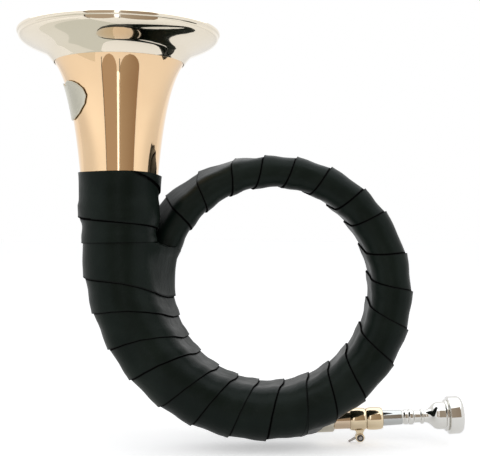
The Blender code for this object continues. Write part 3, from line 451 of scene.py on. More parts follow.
def soften_rims(mesh_data: bmesh.types.BMesh, rounding: float) -> None:
    """Round the edges of the flat ends, which are the faces with more than four corners."""
    rims = [edge for edge in mesh_data.edges if any(len(face.verts) > 4 for face in edge.link_faces)]
    bmesh.ops.bevel(mesh_data, geom=rims, offset=rounding, segments=3, profile=0.5, affect="EDGES",
                    material=-1)


def ringed_disc(segments: int, rings: int) -> bmesh.types.BMesh:
    """Flat disc of radius 1, divided into rings."""
    mesh_data = bmesh.new()
    bmesh.ops.create_circle(mesh_data, cap_ends=True, cap_tris=True, segments=segments, radius=1.0)
    spokes = [edge for edge in mesh_data.edges if not edge.is_boundary]
    bmesh.ops.subdivide_edges(mesh_data, edges=spokes, cuts=rings - 1, use_grid_fill=True)
    return mesh_data


def face_towards(mesh_data: bmesh.types.BMesh, heading: Sequence[float]) -> None:
    """Turn a sheet's faces all to the side that a heading points to."""
    bmesh.ops.recalc_face_normals(mesh_data, faces=mesh_data.faces)
    if sum(face.normal.dot(heading) for face in mesh_data.faces) < 0.0:
        bmesh.ops.reverse_faces(mesh_data, faces=mesh_data.faces)


def in_mm(points: Profile, start: float = 0.0, way: float = 1.0) -> list[tuple[float, ...]]:
    """Profile whose millimetres count from a start, along its axis or with way -1 against it."""
    return [(start + way * place * MM, *(part * MM for part in rest)) for place, *rest in points]


def turned(profile: Profile, steps: int, axis: TurnAxis, closed: bool = True) -> bmesh.types.BMesh:
    """Spin a profile round an axis, with its corners rounded first.

    Args:
        profile: Points of (place along the axis, radius), with a third number where the
            corner is rounded, as its rounding.
        steps: Steps of the full turn.
        axis: Axis to turn round.
        closed: Whether the profile's last point joins its first.

    Returns:
        The turned shell, with its faces outwards.
    """
    mesh_data = bmesh.new()
    corners = []
    for place, radius, *_ in profile:
        spots = {TurnAxis.BELL: (radius, 0.0, place), TurnAxis.PIPE: (place, 0.0, radius),
                 TurnAxis.SCREW: (radius, place, 0.0)}
        corners.append(mesh_data.verts.new(spots[axis]))
    following = corners[1:] + corners[:1] if closed else corners[1:]
    for pair in zip(corners, following):
        mesh_data.edges.new(pair)
    for rounding in sorted({point[2] for point in profile if len(point) > 2}):
        chosen = [corner for corner, point in zip(corners, profile)
                  if corner.is_valid and point[2:] == (rounding,)]
        bmesh.ops.bevel(mesh_data, geom=chosen, offset=rounding, offset_type="OFFSET", segments=4,
                        profile=0.5, affect="VERTICES", material=-1)
    bmesh.ops.spin(mesh_data, geom=mesh_data.verts[:] + mesh_data.edges[:], cent=(0.0, 0.0, 0.0),
                   axis=axis.value, angle=2.0 * math.pi, steps=steps, use_merge=True,
                   use_duplicate=False)
    bmesh.ops.remove_doubles(mesh_data, verts=mesh_data.verts, dist=1e-6)
    bmesh.ops.recalc_face_normals(mesh_data, faces=mesh_data.faces)
    return mesh_data


def mapped_grid(columns: int, rows: int, surface: Callable[[np.ndarray, np.ndarray], np.ndarray],
                uv_name: str | None = None) -> bmesh.types.BMesh:
    """Lay a grid on a surface.

    Args:
        columns: Steps of the first share.
        rows: Steps of the second share.
        surface: Gives points for arrays of both shares, each from 0 to 1.
        uv_name: Name of a UV layer that keeps the shares, if one is wanted.

    Returns:
        The sheet.
    """
    mesh_data = bmesh.new()
    bmesh.ops.create_grid(mesh_data, x_segments=columns, y_segments=rows, size=0.5)
    first = np.array([vert.co.x for vert in mesh_data.verts]) + 0.5
    second = np.array([vert.co.y for vert in mesh_data.verts]) + 0.5
    mesh_data.verts.index_update()
    if uv_name:
        layer = mesh_data.loops.layers.uv.new(uv_name)
        for face in mesh_data.faces:
            for loop in face.loops:
                loop[layer].uv = (first[loop.vert.index], second[loop.vert.index])
    for vert, spot in zip(mesh_data.verts, surface(first, second)):
        vert.co = spot
    return mesh_data


# The tube's course

@dataclass
class RingPlane:
    """Plane across the grip ring, with its pivot, outward and forward directions in XZ."""

    pivot: np.ndarray
    outward: np.ndarray
    forward: np.ndarray

    def point(self, out: np.ndarray | float, y: np.ndarray | float) -> np.ndarray:
        """World points at distances out and depths y."""
        x, z = (pivot + outward * out for pivot, outward in zip(self.pivot, self.outward))
        return np.stack((x, y, z), -1)


@dataclass
class HornCourse:
    """Centre line and radius of the conical tube, from the mouthpipe to the bell."""

    bend_radius: float = 65.1 * MM
    pipe_offset: float = 91.3 * MM
    pipe_rise: float = 2.5
    run_in: tuple[float, float] = (30.0, 230.0)
    crossing_start: float = 375.0
    lead_radius: float = 5.9 * MM
    coil_end: float = 540.0
    coil_end_radius: float = 8.0 * MM
    bow_ease: float = 735.0
    bow_ease_radius: float = 15.3 * MM
    bow_flare: float = 1.2
    bow_lift: float = 1.0 * MM
    bow_lift_start: float = 675.0
    turn_gap: float = 1.5 * MM
    slide_joint: float = 58.4 * MM
    bell_x: float = -96.3 * MM
    bell_y: float = -10.0 * MM
    bell_straight_z: float = 20.0 * MM
    bell_joint_z: float = 47.0 * MM
    bell_mouth_z: float = 157.0 * MM
    bell_gauge_z: float = 72.3 * MM
    bell_gauge_radius: float = 24.6 * MM
    bell_power: float = -0.336
    bell_lead: float = 4.0 * MM
    bell_turn: float = 810.0
    crotch: float = 111.0
    crotch_blend_end: float = 150.0
    sample_angle: float = 2.5
    search_reach: float = 32.0
    pipe_steps: int = 20
    bow_steps: int = 40
    throat_steps: int = 10
    angles: np.ndarray = field(init=False)
    points: np.ndarray = field(init=False)
    radii: np.ndarray = field(init=False)
    back_y: float = field(init=False)

    def __post_init__(self) -> None:
        """Sample the course once."""
        self.angles, self.points, self.radii = (np.array(column) for column in zip(*self.trace()))
        self.back_y = self.bell_y + self.nesting(self.bell_turn - 720.0, self.bell_turn)

    def bell_radius(self, z: float) -> float:
        """Outer radius of the bell below its lip."""
        mouth = self.bell_mouth_z + self.bell_lead
        return self.bell_gauge_radius * ((mouth - z) / (mouth - self.bell_gauge_z)) ** self.bell_power

    def coil_radius(self, angle: float) -> float:
        """Outer radius of the tube in the coil."""
        if angle <= self.coil_end:
            return lerp(self.lead_radius, self.coil_end_radius, max(angle, 0.0) / self.coil_end)
        share = (angle - self.coil_end) / (self.bow_ease - self.coil_end)
        return lerp(self.coil_end_radius, self.bow_ease_radius, share ** self.bow_flare)

    def coil_distance(self, angle: float) -> float:
        """Distance of the centre line from the ring's centre, in the coil."""
        run_in = self.pipe_offset - self.bend_radius - self.lead_radius
        run_in *= 1.0 - smooth((angle - self.run_in[0]) / (self.run_in[1] - self.run_in[0]))
        lift_run = self.bow_ease - self.bow_lift_start
        lift = self.bow_lift * (max(angle - self.bow_lift_start, 0.0) / lift_run) ** 2
        return self.bend_radius + self.coil_radius(angle) + run_in + lift

    def bow_curve(self) -> tuple[np.ndarray, ...]:
        """Control points of the curve from the coil up into the bell."""
        start = polar(self.coil_distance(self.bow_ease), self.bow_ease)
        heading = start - polar(self.coil_distance(self.bow_ease - 1.0), self.bow_ease - 1.0)
        heading /= np.linalg.norm(heading)
        end = np.array((self.bell_x, self.bell_straight_z))
        turn = math.acos(heading[1])
        radius = np.linalg.norm(end - start) / (2.0 * math.sin(turn / 2.0))
        pull = 4.0 / 3.0 * math.tan(turn / 4.0) * radius
        return start, start + heading * pull, end - np.array((0.0, pull)), end

    def pipe_point(self, place: float) -> np.ndarray:
        """X and Z of a point on the mouthpipe's axis, by its place from the collars' joint."""
        rise = math.radians(self.pipe_rise)
        along = np.array((math.cos(rise), math.sin(rise)))
        return polar(self.pipe_offset, -self.pipe_rise) + along * (self.slide_joint + place)

    def trace(self) -> list[tuple[float, np.ndarray, float]]:
        """Sample the centre line as (angle, point in XZ, radius)."""
        course = []
        for step in range(self.pipe_steps):
            point = self.pipe_point(-self.slide_joint * step / self.pipe_steps)
            course.append((-math.degrees(math.atan2(point[0], -point[1])), point, self.lead_radius))
        angle = -self.pipe_rise
        while angle < self.bow_ease:
            course.append((angle, polar(self.coil_distance(angle), angle), self.coil_radius(angle)))
            angle += self.sample_angle
        curve = self.bow_curve()
        for step in range(self.bow_steps + 1):
            share = step / self.bow_steps
            point = bezier(curve, share)
            angle = 720.0 + math.degrees(math.atan2(-point[0], -point[1]))
            radius = lerp(self.bow_ease_radius, self.bell_radius(self.bell_straight_z), share)
            course.append((angle, point, radius))
        for step in range(1, self.throat_steps + 1):
            z = lerp(self.bell_straight_z, self.bell_joint_z + 5 * MM, step / self.throat_steps)
            angle = 720.0 + math.degrees(math.atan2(-self.bell_x, -z))
            course.append((angle, np.array((self.bell_x, z)), self.bell_radius(z)))
        return course

    def nesting(self, first: float, second: float) -> float:
        """Depth between two passes of the tube that lie against each other, at two angles."""
        distances = np.linalg.norm(self.points, axis=1)
        reach = np.interp((first, second), self.angles, self.radii).sum() + self.turn_gap
        apart = np.diff(np.interp((first, second), self.angles, distances))[0]
        return math.sqrt(max(reach * reach - apart * apart, 0.0))

    def depth(self, angle: float) -> float:
        """Y of the centre line: the first turn lies flat at the back, the later ones against it."""
        if angle >= self.bell_turn:
            return self.bell_y
        if angle <= self.crossing_start:
            return self.back_y
        if angle < self.coil_end:
            share = smooth((angle - self.crossing_start) / (self.coil_end - self.crossing_start))
            return self.back_y - share * self.nesting(self.coil_end - 360.0, self.coil_end)
        depth = self.back_y - self.depth(angle - 360.0) + self.nesting(angle - 360.0, angle)
        if angle >= 720.0:
            depth = max(depth, self.nesting(angle - 720.0, angle))
        return self.back_y - depth

    def plane(self, angle: float, level_top: bool = False) -> RingPlane:
        """Plane across the ring at an angle.

        Args:
            angle: Place round the ring.
            level_top: Whether the planes past nine o'clock all stay level.

        Returns:
            The plane.
        """
        if angle <= 90.0 or (angle >= self.crotch_blend_end and not level_top):
            tilt = angle
        elif angle <= self.crotch or level_top:
            tilt = 90.0
        else:
            share = (angle - self.crotch) / (self.crotch_blend_end - self.crotch)
            tilt = lerp(90.0, self.crotch_blend_end, share)
        outward = polar(1.0, tilt)
        pivot = polar(self.bend_radius + self.coil_end_radius, angle)
        return RingPlane(pivot, outward, np.array((outward[1], -outward[0])))

    def crossing(self, plane: RingPlane, wanted: float) -> tuple[float, float, float]:
        """Where the tube meets a plane near a wanted angle: distance out, y and radius."""
        ahead = (self.points - plane.pivot) @ plane.forward
        near = np.abs(self.angles[:-1] - wanted) <= self.search_reach
        index = np.flatnonzero((ahead[:-1] <= 0.0) & (ahead[1:] > 0.0) & near)[0]
        share = ahead[index] / (ahead[index] - ahead[index + 1])
        point = lerp(self.points[index], self.points[index + 1], share)
        angle = lerp(self.angles[index], self.angles[index + 1], share)
        run = self.points[index + 1] - self.points[index]
        stretch = np.linalg.norm(run) / (ahead[index + 1] - ahead[index])
        radius = lerp(self.radii[index], self.radii[index + 1], share) * stretch
        return float((point - plane.pivot) @ plane.outward), self.depth(angle), float(radius)


# Leather

@dataclass
class Sleeve:
    """Outline that leather is stretched over, tabulated by place and by share round it."""

    places: np.ndarray
    points: np.ndarray
    outward: np.ndarray

    def sample(self, places: np.ndarray, shares: np.ndarray) -> tuple[np.ndarray, np.ndarray]:
        """Points and unit outward directions at places and shares."""
        rows = np.interp(places, self.places, np.arange(len(self.places)))
        columns = np.mod(shares, 1.0) * (self.points.shape[1] - 1)
        row = np.clip(np.floor(rows).astype(int), 0, self.points.shape[0] - 2)
        column = np.clip(np.floor(columns).astype(int), 0, self.points.shape[1] - 2)
        down = (rows - row)[:, None]
        over = (columns - column)[:, None]
        found = []
        for table in (self.points, self.outward):
            near = lerp(table[row, column], table[row, column + 1], over)
            far = lerp(table[row + 1, column], table[row + 1, column + 1], over)
            found.append(lerp(near, far, down))
        length = np.linalg.norm(found[1], axis=1, keepdims=True)
        return found[0], found[1] / length


def stretched_outline(circles: np.ndarray, steps: int = 96) -> tuple[np.ndarray, np.ndarray]:
    """Outline stretched over circles, in even steps round its front half and its back half.

    Args:
        circles: Rows of (distance out, y, radius).
        steps: Steps round the whole outline.

    Returns:
        Points and outward directions, from the inner side over the front and back again.
    """
    around = np.linspace(0.0, 4.0 * math.pi, 1201)
    normal = np.stack((np.cos(around), np.sin(around)), -1)
    reach = normal @ circles[:, :2].T + circles[:, 2]
    best = circles[np.argmax(reach, axis=1)]
    spots = best[:, :2] + normal * best[:, 2:]
    away = spots - (spots.min(axis=0) + spots.max(axis=0)) / 2.0
    bearing = np.unwrap(np.arctan2(away[:, 1], away[:, 0]))
    run = run_along(spots)
    marks = np.interp(np.array((1.0, 2.0, 3.0)) * math.pi, bearing, run)
    front = np.linspace(marks[0], marks[1], steps // 2 + 1)
    back = np.linspace(marks[1], marks[2], steps // 2 + 1)
    wanted = np.concatenate((front, back[1:]))
    return looked_up(wanted, run, spots), looked_up(wanted, run, normal)


@dataclass
class StripRun:
    """One run of the leather strip over a sleeve.

    The exposed edge's place is given by knots of (turns, place), counted from the ring's inner
    side, and low and high cut the strip off at places that depend on the share round.
    """

    name: str
    node: str
    sleeve: Sleeve
    first: float
    last: float
    knots: Profile
    low: Profile
    high: Profile
    columns: int
    seed: float
    over: Callable[[np.ndarray], np.ndarray] | None = None
    # Share along the exposed edge that gets the near-black finish as painted shade.
    shaded_edge_share: float = 0.0

    def edge(self, turns: np.ndarray) -> np.ndarray:
        """Places of the exposed edge, with its bends eased."""
        marks, places = zip(*self.knots)
        eased = sum(np.interp(turns + shift, marks, places) for shift in (-0.06, 0.0, 0.0, 0.06))
        return eased / 4.0

    def limit(self, knots: Profile, turns: np.ndarray) -> np.ndarray:
        """Places where the strip is cut off, by share round."""
        marks, places = zip(*knots)
        return np.interp(np.mod(turns, 1.0), marks, places)


@dataclass
class LeatherBinding:
    """Black leather strip wound tightly over the turns and the bell's throat."""

    course: HornCourse
    thickness: float = 0.9 * MM
    hold_off: float = 0.35 * MM
    facet: float = 0.55 * MM
    bridge: float = 0.35 * MM
    edge_lift: float = 0.12 * MM
    edge_curl: float = 0.22 * MM
    slack: float = 0.26 * MM
    sway: float = 0.035
    curl_share: float = 0.16
    lap_start: float = 0.2
    lap_run: float = 0.45
    across: tuple[float, ...] = (0.0, 0.012, 0.03, 0.065, 0.12, 0.2, 0.3, 0.42, 0.55, 0.68, 0.8, 0.9,
                                 0.972, 1.0, 1.08, 1.16)
    # Share across past which faces lie in the painted shade under the next strip.
    shaded_fold_share: float = 0.965
    ferrule_radius: float = 7.6 * MM
    pipe_emerges: tuple[float, float] = (-31.0, -14.0)
    plane_spacing: float = 1.5
    joint_bulge: float = 2.0 * GAP + 0.5 * MM
    joint_half: float = 4.5 * MM
    joint_ease: float = 3.0 * MM
    cut_rounding: float = 0.16 * MM
    gusset_place: float = 110.5
    gusset_fill: float = 0.985
    gusset_low: float = 23.8 * MM
    gusset_high: float = 28.9 * MM
    gusset_crease: float = 0.8 * MM

    def ring_sleeve(self, turns: Sequence[int], first: float, last: float, level_top: bool) -> Sleeve:
        """Sleeve over the given passes of the tube, between two places."""
        places = np.linspace(first, last, int((last - first) / self.plane_spacing) + 2)
        points, outward = [], []
        for place in places:
            plane = self.course.plane(place, level_top)
            circles = [self.course.crossing(plane, place + 360.0 * turn) for turn in turns]
            pipe = place if place < 180.0 else place - 360.0
            if pipe > self.pipe_emerges[0]:
                circles.append(self.gathered_pipe(plane, pipe, np.array(circles)))
            circles = np.array(circles)
            circles[:, 2] += self.hold_off
            outline, normal = stretched_outline(circles)
            points.append(plane.point(outline[:, 0], outline[:, 1]))
            outward.append(plane.point(normal[:, 0], normal[:, 1]) - plane.point(0.0, 0.0))
        return Sleeve(places, np.array(points), np.array(outward))

    def gathered_pipe(self, plane: RingPlane, place: float, coil: np.ndarray) -> np.ndarray:
        """Circle of the mouthpipe, drawn into the coil's bundle where it comes out of the leather."""
        low, high = self.pipe_emerges
        share = smooth((place - low) / (high - low))
        out, y, radius = self.course.crossing(plane, place)
        ferrule = smooth((-8.0 - place) / 4.0)
        radius = lerp(radius, self.ferrule_radius, ferrule)
        spot = lerp(coil[:, :2].mean(axis=0), np.array((out, y)), share)
        return np.array((*spot, radius * lerp(0.8, 1.0, share)))

    def bell_sleeve(self, first: float, last: float) -> Sleeve:
        """Sleeve round the bell's throat, between two heights."""
        places = np.linspace(first, last, 32)
        ring = level_ring(math.pi + 2.0 * math.pi * np.linspace(0.0, 1.0, 97))
        points = []
        for z in places:
            away = abs(z - self.course.bell_joint_z)
            radius = self.course.bell_radius(z) + self.hold_off
            radius += self.joint_bulge * (1.0 - smooth((away - self.joint_half) / self.joint_ease))
            points.append(ring * radius + np.array((self.course.bell_x, self.course.bell_y, z)))
        return Sleeve(places, np.array(points), np.repeat(ring[None], len(places), axis=0))

    def heights(self, run: StripRun, turns: np.ndarray, across: np.ndarray, spots: np.ndarray,
                outward: np.ndarray) -> np.ndarray:
        """Height of the strip's under side above its sleeve.

        Args:
            run: The run of strip.
            turns: Turns wound at each point.
            across: Share of the pitch from the exposed edge at each point.
            spots: Points on the sleeve.
            outward: Outward directions there.

        Returns:
            Heights in metres.
        """
        within = np.where(across > 1.0, across - 1.0, across)
        height = self.thickness * (1.0 - smooth((across - self.lap_start) / self.lap_run))
        radial = spots[:, (0, 2)] / np.linalg.norm(spots[:, (0, 2)], axis=1, keepdims=True)
        facing = (radial * outward[:, (0, 2)]).sum(axis=1)
        if run.node == "leather_wrap_bell":
            facing = np.zeros_like(facing)
        arch = (2.0 * within - 1.0) ** 2
        height += self.facet * np.clip(facing, 0.0, 1.0) * arch
        height += self.bridge * np.clip(-facing, 0.0, 1.0) * (1.0 - arch)
        near_edge = np.clip(1.0 - across / self.curl_share, 0.0, 1.0) ** 2
        shake, pucker = (np.array([grain_at((turn * fast, run.seed + seed, share * wide))
                                   for turn, share in zip(turns, within)])
                         for fast, seed, wide in ((9.0, 0.0, 0.8), (34.0, 7.0, 2.0)))
        height += near_edge * (self.edge_lift + self.edge_curl * np.clip(shake + 0.2, 0.0, 1.0))
        inner = np.clip(0.3 - facing, 0.0, 1.0)
        height += near_edge * inner * self.edge_curl * np.clip(pucker, 0.0, 1.0)
        middle = np.clip(within * (1.0 - within) * 4.0, 0.0, 1.0)
        height += middle * self.slack * shake
        if run.over is not None:
            height += run.over(spots)
        return height

    def lay(self, run: StripRun) -> bmesh.types.BMesh:
        """Wind one run of strip over its sleeve, as a sheet along its under side."""
        rows = len(self.across) - 1
        strip = {}

        def surface(first: np.ndarray, second: np.ndarray) -> np.ndarray:
            """Points of the under side."""
            turns = lerp(run.first, run.last, first)
            across = np.interp(second * rows, np.arange(rows + 1), self.across)
            start, end = run.edge(turns), run.edge(turns + 1.0)
            sway = np.array([grain_at((turn * 2.3, run.seed, 3.0)) for turn in turns])
            start = start + sway * self.sway * (end - start)
            widest = self.across[-1]
            floor = np.clip((run.limit(run.low, turns) - start) / (end - start), 0.0, widest)
            roof = np.clip((run.limit(run.high, turns) - start) / (end - start), floor, widest)
            across = lerp(floor, roof, across / widest)
            # Where a run is cut off short, the share kept for shading stays below the fold's painted
            # shade, since no strip lies over it there.
            shown = np.minimum(across, np.where(roof < 1.02, 0.95, 1.0))
            strip.update(turns=turns, across=shown)
            spots, outward = run.sleeve.sample(lerp(start, end, across), turns)
            return spots + outward * self.heights(run, turns, across, spots, outward)[:, None]

        columns = round((run.last - run.first) * run.columns)
        mesh_data = mapped_grid(columns, rows, surface, STRIP_UV)
        layer = mesh_data.loops.layers.uv[STRIP_UV]
        for face in mesh_data.faces:
            for loop in face.loops:
                index = loop.vert.index
                loop[layer].uv = (strip["turns"][index], strip["across"][index])
            shares = [loop[layer].uv.y for loop in face.loops]
            # Faces in the fold under the next strip, and along the exposed edge up to its shaded share,
            # get the near-black finish as painted shade.
            face.material_index = int(min(shares) > self.shaded_fold_share or max(shares) < run.shaded_edge_share)
        bmesh.ops.remove_doubles(mesh_data, verts=mesh_data.verts, dist=0.02 * MM)
        bmesh.ops.dissolve_degenerate(mesh_data, dist=0.01 * MM, edges=mesh_data.edges)
        self.face_out(mesh_data, run)
        return mesh_data

    def face_out(self, mesh_data: bmesh.types.BMesh, run: StripRun) -> None:
        """Turn the sheet's faces away from the middle of what it covers."""
        mesh_data.normal_update()
        middle = run.sleeve.points.mean(axis=1)
        votes = 0.0
        for face in list(mesh_data.faces)[:: max(len(mesh_data.faces) // 400, 1)]:
            centre = np.array(face.calc_center_median())
            nearest = middle[np.argmin(np.linalg.norm(middle - centre, axis=1))]
            votes += face.normal.dot(Vector(centre - nearest).normalized())
        if votes < 0.0:
            bmesh.ops.reverse_faces(mesh_data, faces=mesh_data.faces)

    def add_run(self, run: StripRun) -> None:
        """Finish one run: lay it, and give it its thickness and its rounded cut edges."""
        item = add_piece(run.name, self.lay(run), (LEATHER, CUT_EDGE_AND_SHADE), Body.HORN, run.node, sharp=50.0)
        thicken(item, self.thickness, 1.0).material_offset_rim = 1
        round_edges(item, self.cut_rounding, 55.0).material = -1

    @staticmethod
    def knots(first: float, *sides: Sequence[float]) -> list[tuple[float, float]]:
        """Knots of an exposed edge, from its places at the inner side, the front and the outer side."""
        shares = (0.0, 0.24, 0.46)
        marked = [(first + turn + share, place) for share, side in zip(shares, sides)
                  for turn, place in enumerate(side)]
        return sorted(marked)

    def coil_run(self) -> StripRun:
        """Strip over the two small passes, from the crotch over the top to the bottom right."""
        inner = (106.0, 120.5, 135.2, 152.9, 166.5, 183.5, 200.7, 218.0, 231.0, 248.0, 263.7, 278.7,
                 294.5, 309.8, 324.0, 338.0, 353.0)
        outer = (113.5, 130.9, 145.9, 163.0, 177.5, 191.7, 207.0, 224.0, 237.0, 257.0, 273.0, 288.7,
                 303.6, 321.5, 336.5, 351.5, 366.0)
        front = [lerp(near, far, 0.72) for near, far in zip(inner, outer)]
        front[-3:] = (330.6, 344.3, 359.5)
        knots = [(-2.0, 92.0), (-1.5, 100.0), *self.knots(-1.0, inner, front, outer)]
        sleeve = self.ring_sleeve((0, 1), 100.0, 358.0, False)
        return StripRun("coil_binding", "leather_wrap_upper", sleeve, -2.0, 14.74, knots,
                        ((0.0, 106.5), (1.0, 106.5)), ((0.0, 358.0), (1.0, 358.0)), 84, 11.0)

    def bow_run(self) -> StripRun:
        """Strip over all three passes, from the mouthpipe round the bottom left to the crotch."""
        inner = (-36.0, -22.0, -7.0, 8.0, 20.5, 33.0, 47.7, 59.0, 72.0, 83.0, 122.0, 126.0, 130.0)
        outer = (-26.5, -11.5, 3.0, 17.0, 31.0, 44.0, 57.0, 69.0, 82.0, 94.8, 126.0, 130.0, 134.0)
        front = (-29.4, -15.7, 1.0, 15.7, 29.5, 42.0, 57.0, 69.9, 82.2, 93.0, 124.0, 128.0, 132.0)
        knots = self.knots(14.0, inner, front, outer)
        top = ((0.0, 109.9), (0.05, 110.4), (0.1, 111.8), (0.15, 114.2), (0.19, 115.5), (0.3, 116.0),
               (0.85, 115.5), (0.95, 112.0), (1.0, 109.9))
        sleeve = self.ring_sleeve((1, 2), -25.0, 118.0, True)
        return StripRun("bow_binding", "leather_wrap_lower", sleeve, 14.76, 24.0, knots,
                        ((0.0, -25.0), (1.0, -25.0)), top, 116, 23.0, self.over_coil)

    def over_coil(self, spots: np.ndarray) -> np.ndarray:
        """Extra height where the bow's binding lies over the start of the coil's."""
        high = smooth((spots[:, 2] - 17.0 * MM) / (5.0 * MM))
        right = smooth((spots[:, 0] + 80.0 * MM) / (8.0 * MM))
        return self.thickness * high * right

    def bell_run(self) -> StripRun:
        """Strip round the bell's throat, above the crotch."""
        knots = ((-0.5, 25.5), (0.0, 28.3), (0.25, 28.1), (0.5, 27.2), (1.0, 36.6), (1.25, 41.1),
                 (1.5, 43.7), (2.0, 60.5), (2.15, 70.0), (2.5, 88.0), (3.0, 104.0), (3.5, 112.0))
        top = ((0.0, 69.0), (0.06, 70.2), (0.12, 71.2), (0.2, 71.7), (0.35, 71.4), (0.5, 71.8),
               (0.7, 71.3), (0.9, 71.6), (1.0, 69.0))
        low = ((0.0, 22.0), (1.0, 22.0))
        knots, low, top = ([(share, z * MM) for share, z in marks] for marks in (knots, low, top))
        sleeve = self.bell_sleeve(20.0 * MM, 76.0 * MM)
        return StripRun("bell_binding", "leather_wrap_bell", sleeve, -0.48, 2.3, knots, low, top,
                        128, 41.0, shaded_edge_share=0.02)

    def build_gusset(self, sleeve: Sleeve) -> None:
        """Tuck a creased patch into the crotch, between the bell's throat and the coil."""
        mesh_data = ringed_disc(96, 24)
        spots = np.array([vert.co[:2] for vert in mesh_data.verts])
        shares = np.arctan2(spots[:, 0], spots[:, 1]) / (2.0 * math.pi)
        rims, _ = sleeve.sample(np.full(len(spots), self.gusset_place), shares)
        middle = rims.mean(axis=0)
        laid = middle + (rims - middle) * (np.linalg.norm(spots, axis=1) * self.gusset_fill)[:, None]
        slope = smooth((-laid[:, 0] - 60.0 * MM) / (18.0 * MM))
        crease = [grain_at((x * 260.0, y * 90.0, 5.0)) + 0.5 * grain_at((x * 700.0, y * 240.0, 9.0))
                  for x, y, _ in laid]
        laid[:, 2] = lerp(self.gusset_low, self.gusset_high, slope)
        laid[:, 2] += np.array(crease) * self.gusset_crease
        layer = mesh_data.loops.layers.uv.new(STRIP_UV)
        for vert, spot in zip(mesh_data.verts, laid):
            vert.co = spot
        for face in mesh_data.faces:
            for loop in face.loops:
                loop[layer].uv = (loop.vert.co.x * 12.0, 0.5)
        face_towards(mesh_data, (0.0, 0.0, 1.0))
        item = add_piece("crotch_gusset", mesh_data, (LEATHER,), Body.HORN, "leather_wrap_lower",
                         sharp=60.0)
        thicken(item, self.thickness)

    def build(self) -> None:
        """Wind the three runs and tuck in the gusset."""
        bow = self.bow_run()
        for run in (self.coil_run(), bow, self.bell_run()):
            self.add_run(run)
        self.build_gusset(bow.sleeve)


# Brass work

